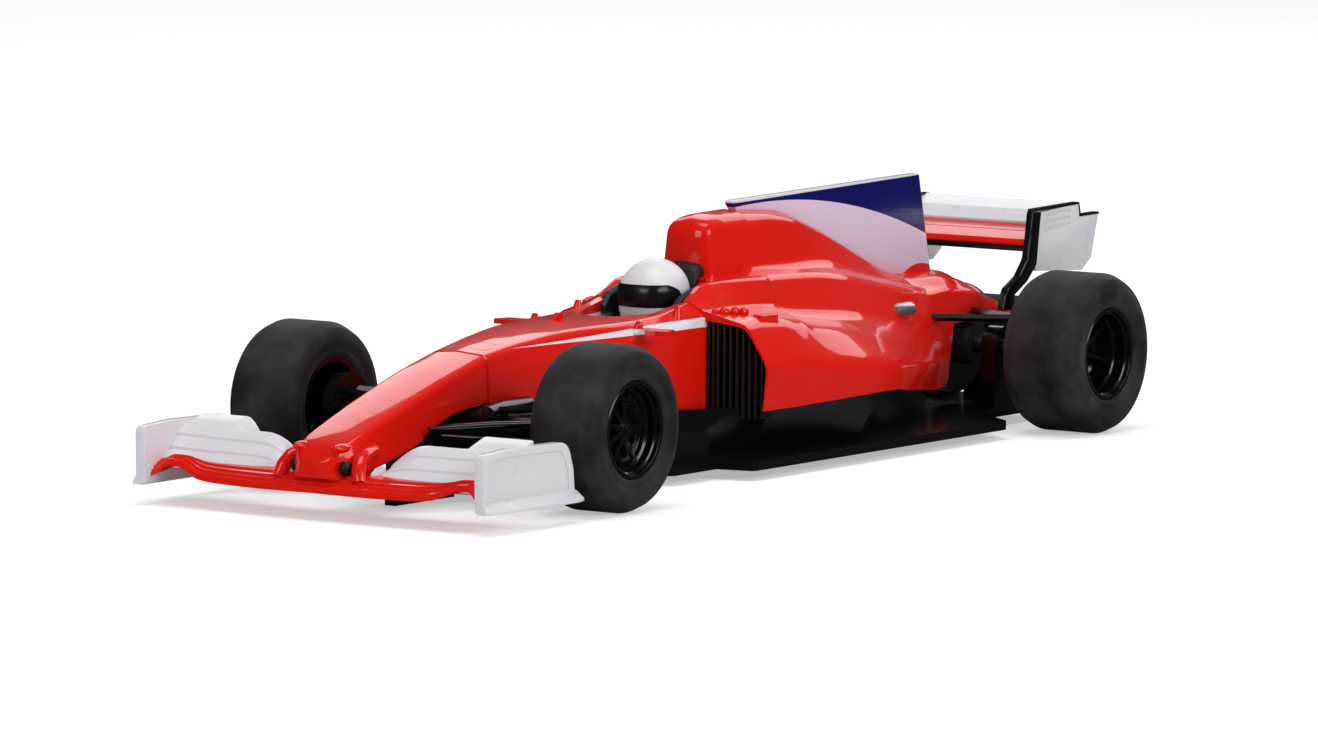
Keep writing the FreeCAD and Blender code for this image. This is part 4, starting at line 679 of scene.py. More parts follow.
# Chassis ahead of the pods. x; crown z; top edge y, z, radius; side y, z, radius; foot y, z
HULL = [
    (50.62, 18.10, 4.30, 17.75, 1.2, 4.70, 15.0, 3.0, 4.80, 11.9),
    (46.0, 18.85, 4.60, 18.45, 1.3, 5.30, 15.5, 3.0, 5.40, 11.5),
    (42.0, 19.40, 4.95, 19.00, 1.3, 5.90, 16.0, 3.0, 6.10, 11.1),
    (34.0, 20.10, 5.70, 19.75, 1.3, 7.00, 16.8, 3.0, 7.30, 10.0),
    (27.0, 20.40, 6.40, 19.90, 1.2, 7.90, 17.4, 2.5, 8.30, 9.0),
    (22.0, 20.40, 6.60, 19.95, 1.0, 8.40, 17.8, 2.0, 8.80, 8.3),
    (16.0, 20.40, 6.65, 20.30, 0.9, 8.80, 18.3, 1.6, 9.00, 8.0),
    (12.0, 20.90, 6.70, 20.90, 0.9, 8.90, 19.4, 1.4, 9.10, 8.0),
    (9.3, 21.40, 6.85, 21.50, 0.9, 9.00, 20.3, 0.8, 9.10, 8.0),
]

# Cover and pods. x; crown z; then y, z, radius of the spine's edge, the spine's foot, the shoulder,
# the valley, the pod's top edge and the pod's side; foot y, z
COVER = [
    (9.6, 21.5, 3.4, 21.5, 0.3, 4.8, 21.5, 0.3, 6.9, 21.6, 0.8,
     9.2, 20.5, 0.6, 14.4, 18.8, 2.4, 17.0, 13.5, 3.6, 16.4, 8.0),
    (7.5, 22.5, 3.4, 22.5, 0.3, 4.8, 22.5, 0.3, 6.9, 22.7, 0.9,
     9.25, 20.5, 0.6, 14.4, 18.9, 2.8, 17.0, 13.5, 4.0, 16.5, 8.0),
    (5.0, 23.5, 3.4, 23.5, 0.3, 4.8, 23.5, 0.3, 7.1, 23.6, 0.9,
     9.3, 20.5, 0.7, 14.4, 19.0, 3.0, 17.0, 13.5, 4.0, 16.6, 8.0),
    (0.0, 23.9, 3.4, 23.9, 0.3, 4.8, 23.9, 0.3, 7.7, 23.7, 0.9,
     9.3, 20.4, 0.8, 14.3, 18.9, 3.2, 17.1, 13.4, 4.0, 16.7, 8.0),
    (-6.3, 24.0, 3.4, 24.0, 0.3, 4.8, 24.0, 0.3, 8.0, 23.5, 0.9,
     9.3, 20.0, 1.0, 14.0, 18.2, 3.6, 17.1, 13.0, 4.0, 16.8, 8.1),
    (-8.2, 31.6, 3.5, 31.0, 2.6, 4.7, 24.4, 1.0, 7.6, 23.4, 1.6,
     9.5, 18.9, 2.4, 14.0, 17.8, 3.8, 17.2, 12.8, 4.0, 16.9, 8.1),
    (-14.0, 31.5, 3.3, 30.7, 1.9, 4.8, 24.2, 1.8, 7.5, 23.2, 1.8,
     9.8, 18.1, 3.6, 13.9, 16.8, 4.0, 17.2, 12.4, 4.0, 16.9, 8.2),
    (-20.0, 31.0, 3.1, 29.9, 1.5, 5.0, 24.0, 2.8, 7.5, 22.9, 2.0,
     9.9, 17.6, 4.4, 13.5, 15.8, 4.2, 16.9, 12.0, 4.0, 16.6, 8.2),
    (-26.0, 29.4, 3.0, 28.0, 1.3, 5.0, 23.4, 3.2, 7.3, 22.3, 2.1,
     9.8, 17.0, 4.6, 12.8, 14.8, 4.2, 16.0, 11.4, 3.6, 15.7, 8.0),
    (-32.0, 27.2, 2.9, 25.8, 1.2, 4.9, 22.2, 3.0, 7.0, 21.3, 2.2,
     9.4, 16.2, 4.2, 11.8, 13.7, 3.8, 14.4, 10.6, 3.2, 13.8, 7.3),
    (-38.0, 24.7, 2.8, 23.4, 1.2, 4.7, 20.9, 2.8, 6.7, 20.3, 2.2,
     8.8, 15.5, 3.6, 10.5, 12.9, 3.2, 12.5, 9.8, 3.0, 11.6, 6.7),
    (-44.0, 22.2, 2.8, 21.1, 1.2, 4.5, 19.8, 2.4, 6.4, 19.2, 2.1,
     8.0, 14.8, 2.8, 9.0, 12.3, 2.4, 10.2, 9.2, 2.4, 9.2, 6.0),
    (-50.0, 20.6, 3.4, 19.9, 1.3, 4.6, 18.9, 2.0, 6.1, 18.2, 1.9,
     7.0, 14.3, 2.0, 7.4, 12.0, 1.6, 7.7, 9.0, 1.8, 7.0, 5.4),
    (-53.4, 20.7, 3.7, 19.8, 1.6, 4.8, 18.8, 1.4, 5.9, 18.2, 1.5,
     6.65, 14.7, 1.6, 6.9, 12.3, 1.1, 6.9, 9.8, 1.1, 6.4, 5.8),
    (-54.5, 20.7, 3.8, 19.8, 1.7, 4.9, 18.8, 1.2, 5.9, 18.2, 1.4,
     6.6, 14.9, 1.2, 6.7, 14.6, 0.3, 6.7, 14.2, 0.2, 6.6, 13.8),
    (-58.0, 20.5, 3.9, 19.5, 1.8, 4.9, 18.6, 0.8, 5.8, 18.0, 1.4,
     6.3, 15.2, 1.0, 6.3, 14.6, 0.3, 6.3, 14.2, 0.2, 6.2, 13.8),
    (-61.5, 19.4, 3.7, 18.7, 1.6, 4.6, 18.2, 0.8, 5.7, 17.6, 1.4,
     6.2, 15.2, 1.0, 6.2, 14.6, 0.3, 6.2, 14.2, 0.2, 6.1, 13.8),
    (-63.8, 17.6, 3.2, 17.4, 0.8, 4.0, 17.3, 0.8, 5.4, 16.8, 1.5,
     6.0, 15.2, 1.0, 6.0, 14.6, 0.3, 6.0, 14.2, 0.2, 5.9, 13.8),
    (-66.5, 16.9, 2.6, 16.9, 0.6, 3.4, 16.8, 0.6, 5.1, 16.2, 1.6,
     5.8, 15.0, 0.8, 5.8, 14.5, 0.3, 5.8, 14.1, 0.2, 5.7, 13.8),
    (-69.5, 15.9, 2.4, 15.9, 0.6, 3.2, 15.8, 0.6, 4.7, 15.3, 1.2,
     5.5, 14.7, 0.6, 5.5, 14.3, 0.2, 5.5, 14.0, 0.1, 5.4, 13.8),
    (-71.7, 14.5, 2.0, 14.5, 0.3, 2.8, 14.5, 0.3, 3.9, 14.4, 0.4,
     4.9, 14.1, 0.2, 4.9, 14.0, 0.1, 4.9, 13.9, 0.1, 4.8, 13.8),
]
# How far back a pod's front lies for each millimetre outside the valley, the x where that begins and its way
# from there to the full share
POD_SWEEP = 0.42
POD_SWEEP_START = -6.0
POD_SWEEP_WAY = 15.0
POD_FRONT = 9.6
VALLEY = 9.2

# Closed airbox. x; crown z; upper edge y, z, radius; foot y
AIRBOX = [
    (0.35, 29.3, 1.9, 29.0, 1.7, 2.7),
    (-0.4, 30.8, 3.0, 30.3, 2.5, 3.9),
    (-1.6, 31.3, 3.3, 30.7, 2.8, 4.3),
    (-4.2, 31.65, 3.5, 31.0, 2.9, 4.6),
    (-8.9, 31.75, 3.6, 31.1, 2.8, 4.85),
]
AIRBOX_FOOT = 22.5

# The shell's thickness, and how many of it lie between cover and hollow, in y and z, at the spine's foot, the
# shoulder, the valley, the pod's top edge and the pod's side
WALL = 1.3
WALLS_WITHIN = [(0, 1.4), (1, 1.3), (1.2, 1.3), (1.4, 1.5), (1, 1)]

# The opening over the driver: half its outline (x, y, radius) and the levels that it is cut between
COCKPIT = [(22.4, 0, 0), (20.6, 2.6, 1.2), (15.0, 5.2, 2.5), (4.0, 5.9, 1.2), (1.9, 4.3, 1.2), (1.5, 0, 0)]
COCKPIT_LEVELS = (12.0, 25.0)

# The inlet's outline in a pod's front (y, z, radius), and how deep its grille sits
INLET = [(9.2, 7.0, 0), (9.2, 19.35, 0.5), (14.2, 18.45, 2.4), (16.7, 13.6, 3.6), (16.2, 7.0, 0)]
INLET_DEPTH = 1.7

# The joint between chassis and nose: its depth, and half the width and the height around its middle's z
JOINT_DEPTH = 0.3
JOINT_HALF = (4.5, 3.5)
JOINT_MIDDLE = 15.0

# The hatch on the chassis: its outline (x, y, radius), two points (x, z) of the top there, the groove around
# it and the height of the groove's cutter
HATCH = [(45.9, -2.9, 0.5), (45.9, 2.9, 0.5), (48.6, 2.7, 0.5), (48.6, -2.7, 0.5)]
HATCH_SLOPE = ((45.0, 18.98), (50.0, 18.12))
GROOVE = 0.2
GROOVE_CUTTER = 2

# Middles and radii of the two domes on the tail, and the box that cuts off what is below them
TAIL_DOMES = [((-58.8, 0.0, 15.6), (4.9, 5.1, 4.7)), ((-66.2, 0.0, 14.2), (4.6, 4.3, 3.9))]
BELOW_DOMES = ((-75, -8, 5), (-50, 8, 13.85))
# The opening in the tail, and the profile (y, radius) of the room for the crown gear
TAIL_OPENING = ((-56, -5.2, 3.0), (-51.0, 5.2, 13.4))
GEAR_ROOM = [(1.2, 0.001), (1.2, 7.2), (4.2, 7.2), (4.2, 0.001)]


def body_ring(row):
    """A section of the chassis or of the cover, whose pods lie further back towards their outsides."""
    x, crown, *edges, foot_y, foot_z = row
    corners = [(0, crown, 0), *zip(edges[::3], edges[1::3], edges[2::3]), (foot_y, foot_z, 0), (0, foot_z, 0)]
    *half, last = rounded(corners, closed=False)
    sweep = POD_SWEEP * max(0.0, min(1.0, (x - POD_SWEEP_START) / POD_SWEEP_WAY))
    flat = both_sides(half + [(foot_y / 2, foot_z), last])
    return [(x - sweep * max(0.0, abs(y) - VALLEY), y, z) for y, z in flat]


def hollow_ring(row):
    """The inside of a cover section."""
    x, _, *edges, foot_y, foot_z = row
    corners = list(zip(edges[::3], edges[1::3]))[1:]
    half = [(0, corners[0][1] - WALL)]
    half += [(y - WALL * inward, z - WALL * down) for (y, z), (inward, down) in zip(corners, WALLS_WITHIN)]
    half += [(foot_y - WALL, foot_z - WALL), (0, foot_z - WALL)]
    return [(x, y, z) for y, z in both_sides(half)]


def airbox_ring(row):
    """A cross-section of the airbox's arch."""
    x, crown, edge_y, edge_z, radius, foot_y = row
    corners = [(0, crown, 0), (edge_y, edge_z, radius), (foot_y, AIRBOX_FOOT, 0), (0, AIRBOX_FOOT, 0)]
    return arched(x, corners, 8)


def cockpit_ring(level):
    """The opening's outline on both sides, at one level."""
    left = [(y, x) for x, y in rounded(COCKPIT, closed=False)]
    return [(x, y, level) for y, x in both_sides(left)]


def inlet_ring(x):
    """The inlet's outline, swept as the pod's front is."""
    return [(x - POD_SWEEP * (y - VALLEY), y, z) for y, z in rounded(INLET)]


def drawn_in(ring):
    """A chassis or nose ring made smaller all round, for the joint."""
    across, up = (1 - JOINT_DEPTH / half for half in JOINT_HALF)
    return [(x, y * across, JOINT_MIDDLE + (z - JOINT_MIDDLE) * up) for x, y, z in ring]


def hatch_groove():
    """A cutter for the shallow groove around the hatch, on the sloping top."""
    (x0, z0), (x1, z1) = HATCH_SLOPE
    middle = Vector([sum(corner[axis] for corner in HATCH) / len(HATCH) for axis in (0, 1)])
    rings = []
    for x, y in rounded(HATCH, 5):
        out = (Vector((x, y)) - middle).normalized() * GROOVE
        low = z0 + (x - x0) * (z1 - z0) / (x1 - x0) - GROOVE
        wide = (x + out.x, y + out.y)
        high = low + GROOVE_CUTTER
        rings.append([(x, y, low), (*wide, low), (*wide, high), (x, y, high)])
    return loft("hatch", rings + rings[:1], caps=False)


def add_body():
    """The painted shell: chassis, pods and engine cover in one, hollow and open over the driver."""
    rings = [body_ring(row) for row in smooth_rows(HULL, span(9.3, 50.2, 60) + [50.35, 50.55])]
    hull = loft("body", rings[:-1] + [drawn_in(rings[-1])])
    cover = loft("cover", [body_ring(row) for row in smooth_rows(COVER, span(-71.7, POD_FRONT, 180))])
    airbox = loft("airbox", [airbox_ring(row) for row in smooth_rows(AIRBOX, span(-8.9, 0.35, 30))])
    inlet = loft("inlet", [inlet_ring(x) for x in (POD_FRONT - INLET_DEPTH, POD_FRONT + 3.0)])
    cuts = [
        loft("cockpit", [cockpit_ring(level) for level in COCKPIT_LEVELS]),
        loft("inside", [hollow_ring(row) for row in smooth_rows(COVER, span(-52.0, 7.6, 30))]),
        block("tail", *TAIL_OPENING),
        turned("gear_room", GEAR_ROOM, REAR_AXLE, 48),
        inlet,
        mirrored(inlet),
        hatch_groove(),
    ]
    domes = [lump("dome", middle, radii, (40, 24)) for middle, radii in TAIL_DOMES]
    for dome in domes:
        combined(dome, [block("below", *BELOW_DOMES)], "DIFFERENCE")
    combined(hull, [cover, airbox] + domes, "UNION")
    combined(hull, cuts, "DIFFERENCE")
    return dress(hull, "red_plastic", nodes=["body_shell"])


# Slats of a grille, y and top z; then half their thickness, their foot and how far behind the front they end
SLATS = [
    (9.55, 19.2), (10.1, 19.1), (10.65, 19.0), (11.4, 18.9), (12.15, 18.75),
    (12.9, 18.55), (13.65, 18.2), (14.4, 17.6), (15.15, 16.6), (15.9, 15.0),
]
SLAT_HALF = 0.13
SLAT_FOOT = 7.0
SLAT_INSET = 0.45


def add_grilles():
    """Upright slats over a dark backing in each pod's inlet."""
    floor = POD_FRONT - INLET_DEPTH
    parts = [loft("backing", [inlet_ring(floor - 0.4), inlet_ring(floor + 0.15)])]
    for y, top in SLATS:
        x = POD_FRONT - POD_SWEEP * (y - VALLEY)
        low = (x - INLET_DEPTH, y - SLAT_HALF, SLAT_FOOT)
        parts.append(block("slat", low, (x - SLAT_INSET, y + SLAT_HALF, top)))
    return dress(paired("inlet_slats", parts), "cockpit_black", nodes=["radiator_grilles"], smooth=False)


add_body()
add_grilles()


# Engine cover fin

FIN = [
    (-9.6, 32.75, 0.3), (-54.9, 33.45, 0.5), (-58.1, 20.0, 0.3),
    (-57.0, 18.6, 0), (-46.0, 18.9, 0), (-11.5, 30.6, 0),
]
FIN_HALF = 0.65


def add_fin():
    """The tall blade on the cover's spine, with rounded edges."""
    fin = bevelled(plate("fin", FIN, "y", (-FIN_HALF, FIN_HALF)), 0.25, 2)
    return dress(fin, "fin_plastic", nodes=["engine_cover_fin"])


add_fin()


# Nose cone

# x; crown z; top edge y, z, radius; foot y, z, radius
NOSE = [
    (50.55, 18.10, 4.30, 17.75, 1.2, 4.75, 11.95, 0.4),
    (57.0, 16.55, 4.35, 16.15, 1.1, 4.65, 11.2, 0.4),
    (61.5, 15.25, 4.25, 14.9, 1.1, 4.60, 9.9, 0.5),
    (65.5, 14.05, 4.20, 13.7, 1.1, 4.65, 7.9, 0.6),
    (70.0, 12.60, 4.05, 12.3, 1.1, 4.80, 6.8, 0.6),
    (74.0, 11.25, 3.85, 10.95, 1.0, 4.95, 6.0, 0.6),
    (77.5, 9.95, 3.60, 9.7, 0.9, 4.90, 5.5, 0.6),
    (79.2, 9.15, 3.30, 8.9, 0.8, 4.20, 5.0, 0.6),
    (80.4, 8.20, 2.70, 8.0, 0.7, 3.40, 4.9, 0.6),
    (81.0, 7.40, 1.80, 7.3, 0.5, 2.30, 5.2, 0.5),
]
# Middle and radii of the left nostril's hole and of the dark lump in it
NOSTRIL_HOLE = ((80.4, 3.75, 6.3), (2.2, 0.9, 1.1))
NOSTRIL_BACK = ((78.9, 3.6, 6.3), (1.0, 0.8, 0.95))


def lumps(middle, radii):
    """A bump on each side of the car."""
    x, y, z = middle
    return [lump("lump", (x, side * y, z), radii) for side in SIDES]


def add_nose():
    """The nose cone with its rounded bill and two dark nostrils."""
    rings = []
    for x, crown, *corners in smooth_rows(NOSE, [50.65, 50.85] + span(51.2, 81.0, 40)):
        top, foot = corners[:3], corners[3:]
        rings.append(arched(x, [(0, crown, 0), top, foot, (0, foot[1], 0)]))
    nose = loft("nose", [drawn_in(rings[0])] + rings[1:])
    combined(nose, lumps(*NOSTRIL_HOLE), "DIFFERENCE")
    dress(joined("nostrils", lumps(*NOSTRIL_BACK)), "cockpit_black", nodes=["nose_cone"])
    return dress(nose, "red_plastic", nodes=["nose_cone"])


add_nose()


# Rims

# Profiles of y, radius and rounding, from the barrel over the lip and the web to the hub and back
RIM_LIP = [(26.95, 6.11, 0.2), (27.1, 5.9, 0.1), (27.05, 5.55, 0.1), (26.5, 5.45, 0.1), (26.35, 5.2, 0.1)]
FRONT_RIM = [
    (18.2, 6.11, 0), *RIM_LIP, (25.5, 5.1, 0.1), (25.3, 4.75, 0.2), (24.75, 4.55, 0.2), (24.65, 3.9, 0.1),
    (24.9, 3.8, 0.1), (24.9, 3.5, 0.1), (24.6, 3.4, 0.1), (24.6, 1.3, 0.1), (25.7, 1.15, 0.1),
    (25.75, 0.7, 0.1), (26.1, 0.6, 0.1), (26.1, 0.0, 0), (23.9, 0.0, 0), (23.9, 5.2, 0.4), (18.2, 5.4, 0),
]
REAR_RIM = [
    (16.8, 6.11, 0), *RIM_LIP, (24.9, 5.1, 0.1), (24.7, 4.85, 0.2), (22.2, 4.7, 0.4), (21.8, 4.2, 0.2),
    (21.8, 1.5, 0.2), (22.8, 1.3, 0.1), (22.9, 0.6, 0.1), (23.3, 0.5, 0.1), (23.3, 0.0, 0),
    (21.4, 0.0, 0), (21.4, 5.2, 0.4), (16.8, 5.4, 0),
]
# Ribs: the first one's angle in steps, the foot's y, and at both ends the radius, half width and top y
FRONT_RIBS = [
    (0.3, 24.5, [(1.0, 0.62, 25.7), (3.7, 0.2, 25.0)]),
    (0.8, 24.4, [(3.5, 0.34, 24.95), (4.7, 0.16, 25.1)]),
]
REAR_RIBS = [(0.3, 21.6, [(1.1, 0.42, 22.9), (4.8, 0.3, 24.0)])]
# Each end's profile, its steps of ribs and its ribs
RIMS = {"front": (FRONT_RIM, 9, FRONT_RIBS), "rear": (REAR_RIM, 6, REAR_RIBS)}
RIM_SEGMENTS = 96
RIB_TOP_SHARE = 0.7


def rib(axle, side, angle, foot, ends):
    """A tapered rib that runs outwards from the hub."""
    x, z = axle
    c, s = math.cos(angle), math.sin(angle)
    rings = []
    for radius, half, top in ends:
        top_half = half * RIB_TOP_SHARE
        section = [(-half, foot), (half, foot), (top_half, top), (-top_half, top)]
        rings.append([
            (x + radius * c - across * s, side * y, z + radius * s + across * c) for across, y in section
        ])
    return loft("rib", rings)


def add_rim(end, side):
    """The front or rear rim of one side, a deep dish with stepped lips and ribs on its web."""
    profile, count, ribs = RIMS[end]
    node = f"{end}_rim_{'left' if side > 0 else 'right'}"
    axle = axle_of(node)
    corners = [(side * y, radius, corner) for y, radius, corner in profile]
    parts = [turned("dish", rounded(corners, 3, closed=False), axle, RIM_SEGMENTS)]
    for i in range(count):
        for first, foot, ends in ribs:
            parts.append(rib(axle, side, 2 * math.pi * (i + first) / count, foot, ends))
    return dress(joined(node + "_dish", parts), "rim_plastic", f"{end}_wheels", [node])


for end in RIMS:
    for side in SIDES:
        add_rim(end, side)


# Driver

HELMET_X = 7.15
HELMET_LENGTH = 4.85
HELMET_WIDTH = 4.2
HELMET_FOOT = 17.6
HELMET_HEIGHT = 8.95
# How far its round sections lean to a square
HELMET_SQUARE = 0.035
# z, share of the full size, shift forward
HELMET_ROWS = [
    (17.6, 0.60, 0.0), (18.0, 0.78, 0.05), (18.6, 0.86, 0.15), (19.4, 0.92, 0.25), (20.4, 0.965, 0.2),
    (21.4, 0.995, 0.08), (22.4, 1.0, 0.0), (23.4, 0.955, -0.05), (24.4, 0.85, -0.1), (25.2, 0.70, -0.15),
    (25.9, 0.50, -0.15), (26.35, 0.28, -0.15), (26.55, 0.04, -0.15),
]
# The visor: its reach to each side, the angle in which its ends close, and for its lower and upper edge the z
# at the ends and how far it spreads in front
VISOR_REACH = math.radians(90)
VISOR_CLOSING = 0.5
VISOR_LOW = (22.05, 1.45)
VISOR_HIGH = (22.1, 1.35)
# How far its face and its back lie outside the helmet's skin, and how much less at the face's edges
VISOR_FACE = 0.16
VISOR_BACK = -0.3
VISOR_EDGE = 0.1
# Headrest sections: x, half width, top z. Collar sections: x, middle y, top z
HEADREST = [(0.42, 3.1, 25.7), (1.2, 3.2, 25.6), (2.2, 3.2, 25.0), (2.9, 3.1, 23.6), (3.2, 3.0, 21.0)]
HEADREST_FOOT = 17.0
COLLAR = [(11.3, 5.4, 20.6), (9.6, 5.55, 22.1), (7.0, 5.5, 22.9), (4.4, 5.3, 23.4), (2.4, 4.7, 23.4)]
COLLAR_FOOT = 19.6


def helmet_spot(angle, z, out=0.0):
    """A point of the helmet's skin; out moves it outwards."""
    _, share, shift = smooth_rows(HELMET_ROWS, [z])[0]
    square = 1.0 - HELMET_SQUARE * math.cos(4 * angle)
    return (
        HELMET_X + shift + (HELMET_LENGTH * share + out) * math.cos(angle) * square,
        (HELMET_WIDTH * share + out) * math.sin(angle) * square, z,
    )


def add_helmet():
    """A smooth, plain helmet."""
    turn = [2 * math.pi * i / 72 for i in range(72)]
    levels = [HELMET_FOOT + HELMET_HEIGHT * math.sin(math.pi / 2 * share) for share in span(0, 1, 28)]
    rings = [[helmet_spot(angle, z) for angle in turn] for z in levels]
    dress(loft("driver_helmet", rings), "helmet_white", nodes=["helmet"])


def add_visor():
    """One broad raised visor around the helmet's front, with pointed ends."""
    rings = []
    for angle in span(-VISOR_REACH, VISOR_REACH, 49):
        fade = min(1.0, (VISOR_REACH - abs(angle)) / VISOR_CLOSING) ** 0.5
        low = VISOR_LOW[0] - VISOR_LOW[1] * fade
        high = VISOR_HIGH[0] + VISOR_HIGH[1] * fade
        face = []
        for share, z in zip(span(-1, 1, 9), span(low, high, 9)):
            face.append(helmet_spot(angle, z, VISOR_FACE - VISOR_EDGE * abs(share) ** 6))
        back = [helmet_spot(angle, z, VISOR_BACK) for z in span(high - 0.05, low + 0.05, 4)]
        rings.append(face + back)
    dress(loft("driver_visor", rings), "visor_black", nodes=["visor"])


def add_headrest():
    """A rounded black pad behind the helmet."""
    rings = []
    for x, half, top in HEADREST:
        corners = [(0, top, 0), (half, top - 0.3, 1.3), (half, HEADREST_FOOT, 0), (0, HEADREST_FOOT, 0)]
        rings.append(arched(x, corners))
    dress(loft("headrest", rings), "cockpit_black")


def add_collar():
    """The black pads along the cockpit's rim on both sides."""
    rings = []
    for x, y, top in COLLAR:
        section = [
            (y - 0.75, COLLAR_FOOT, 0.2), (y - 0.7, top - 0.35, 0.3), (y - 0.2, top, 0.3),
            (y + 0.5, top - 0.1, 0.3), (y + 0.6, COLLAR_FOOT, 0.2),
        ]
        rings.append([(x, across, z) for across, z in rounded(section, 3)])
    dress(paired("collar", [loft("pad", rings)]), "cockpit_black", nodes=["headrest_pads"])


add_helmet()
add_visor()
add_headrest()
add_collar()


# Front wing

# Leading edge: y, x, z; then the extra lift just behind it
WING_LINE = [
    (0.0, 81.3, 3.35, 0.0), (8.0, 81.2, 3.3, 0.0), (14.6, 80.9, 3.4, 0.0), (17.4, 80.7, 3.6, 0.1),
    (19.2, 80.4, 4.2, 0.3), (20.8, 80.2, 4.7, 0.5), (22.2, 80.2, 4.8, 0.5), (23.7, 80.5, 3.9, 0.2),
    (25.2, 81.0, 3.1, 0.0),
]
WING_LEVEL = 3.35
# The section: back from the leading edge, up from the level. The underside follows the top's rear points at
# three quarters of their height
WING_TOP = [
    (0.0, 0.0), (0.02, 0.45), (0.2, 0.8), (0.6, 1.0), (0.75, 1.3), (1.2, 1.4), (1.35, 1.7), (1.9, 1.85),
    (2.05, 2.1), (3.2, 2.3), (5.0, 2.3), (7.5, 2.3), (9.6, 2.3),
]
WING_UNDER = [(back, (up - 0.8) * 0.75 - 0.25) for back, up in WING_TOP[:3:-1]]
# How far back the leading edge's arch reaches, where the extra lift is highest, and how far that spreads
ARCH_REACH = 3.2
LIFT_BACK = 1.0
LIFT_SPREAD = 2.0


def wing_arch(back, z, lift):
    """How far the wing stands above its level at a distance behind its leading edge."""
    edge = (z - WING_LEVEL) * max(0.0, 1.0 - back / ARCH_REACH)
    return edge + lift * max(0.0, 1.0 - abs(back - LIFT_BACK) / LIFT_SPREAD)


def add_front_wing():
    """The red plane with three fine ridges behind its edge and an arched tip at each end."""
    rings = []
    for y in span(-25.1, 25.1, 101):
        _, lead, z, lift = smooth_rows(WING_LINE, [abs(y)])[0]
        ring = []
        for back, up in WING_TOP + WING_UNDER:
            ring.append((lead - back, y, WING_LEVEL + up + wing_arch(back, z, lift)))
        rings.append(ring)
    return dress(loft("front_wing_red", rings), "red_plastic", nodes=["front_wing_plane"])


# A flap's section: x, top z, for its three steps, at full height
FLAP_TOP = [
    (78.4, 5.3), (78.25, 5.6), (77.6, 6.1), (77.0, 6.5), (76.9, 6.85), (76.1, 7.5), (75.5, 7.95), (75.4, 8.3),
    (74.5, 8.9), (73.6, 9.25), (73.3, 9.1),
]
FLAP_FOOT = 4.9
# The y from which the flap is round towards the nose, and the radius; the y from which it rises, and the way
FLAP_ROUND = (12.2, 5.2)
FLAP_RISE = (17.0, 6.0)
# The raised vane by the endplate: its section (x, z), the z it grows from, and the y of its start with the
# way in which it reaches full height
VANE_SECTION = [
    (73.9, 8.3), (73.7, 8.8), (72.6, 9.4), (71.2, 10.0), (69.9, 10.45), (69.7, 10.3), (69.9, 9.8),
    (71.2, 9.2), (72.6, 8.4), (73.7, 7.8),
]
VANE_FOOT = 7.6
VANE_START = 15.6
VANE_WAY = 2.2
FLAP_TAB = [(78.4, 4.8, 0.1), (78.2, 5.9, 0.4), (77.2, 6.5, 0.5), (75.9, 6.5, 0.4), (75.5, 4.8, 0.1)]


def limited(value):
    """A value kept between 0 and 1."""
    return max(0.0, min(1.0, value))


def flap_ring(y):
    """A flap's section, whose height falls in a round end towards the nose."""
    start, radius = FLAP_ROUND
    inner = max(0.0, 1.0 - ((start - y) / radius) ** 2) ** 0.5 if y < start else 1.0
    share = max(0.05, inner) * (1.0 + 0.06 * limited((y - FLAP_RISE[0]) / FLAP_RISE[1]))
    top = [(x, y, FLAP_FOOT + (z - FLAP_FOOT) * share) for x, z in FLAP_TOP]
    return top + [(x, y, FLAP_FOOT - 0.5 + (z - FLAP_FOOT - 0.3) * share * 0.9) for x, z in FLAP_TOP[::-1]]


def vane_ring(y):
    """A vane's section, which rises from the flap in a quarter wave."""
    share = 0.1 + 0.9 * math.sin(limited((y - VANE_START) / VANE_WAY) * math.pi / 2)
    return [(x, y, VANE_FOOT + (z - VANE_FOOT) * share) for x, z in VANE_SECTION]


def add_front_flaps():
    """The white flaps of both sides, with three steps, a rounded inner end and a vane by each endplate."""
    parts = [
        loft("flap", [flap_ring(y) for y in [7.02, 7.1, 7.3, 7.6, 8.0] + span(8.6, 24.6, 34)]),
        loft("vane", [vane_ring(y) for y in [15.6, 15.7, 15.9, 16.3, 16.8] + span(17.4, 24.6, 16)]),
        plate("tab", FLAP_TAB, "y", (6.7, 7.25)),
    ]
    nodes = ["front_wing_flap_left", "front_wing_flap_right"]
    return dress(paired("front_flaps", parts), "white_plastic", nodes=nodes)


# The endplate and the sunk field in its outside: outlines (x, z, radius) and ranges of y
END_OUTLINE = [
    (81.9, 2.7, 0.3), (82.1, 9.75, 0.9), (76.0, 10.1, 0.5), (64.2, 9.9, 2.4), (63.0, 6.5, 1.5),
    (62.6, 2.9, 0.2),
]
END_SIDES = (24.5, 25.9)
END_FIELD = [
    (81.0, 3.7, 0.3), (81.1, 8.8, 0.6), (76.0, 9.1, 0.4), (65.2, 8.9, 1.9), (64.1, 6.3, 1.2),
    (63.8, 3.9, 0.3),
]
END_FIELD_SIDES = (25.65, 27.0)
# The flared foot: x and the y of its edge
END_FOOT = [(82.0, 26.3), (80.5, 26.9), (76.0, 27.3), (70.0, 27.4), (64.0, 27.4), (62.2, 26.9)]


def add_front_endplates():
    """White endplates with a raised border and a foot that flares out."""
    panel = plate("endplate", END_OUTLINE, "y", END_SIDES)
    combined(panel, [plate("field", END_FIELD, "y", END_FIELD_SIDES)], "DIFFERENCE")
    bevelled(panel, 0.16, 3)
    rings = []
    for x, edge in END_FOOT:
        section = [
            (24.9, 2.55, 0.1), (edge, 2.6, 0.15), (edge, 3.0, 0.15), (25.7, 3.9, 0.5), (24.9, 3.9, 0.1),
        ]
        rings.append([(x, y, z) for y, z in rounded(section, 3)])
    nodes = ["front_wing_endplate_left", "front_wing_endplate_right"]
    return dress(paired("front_endplates", [panel, loft("foot", rings)]), "white_plastic", nodes=nodes)


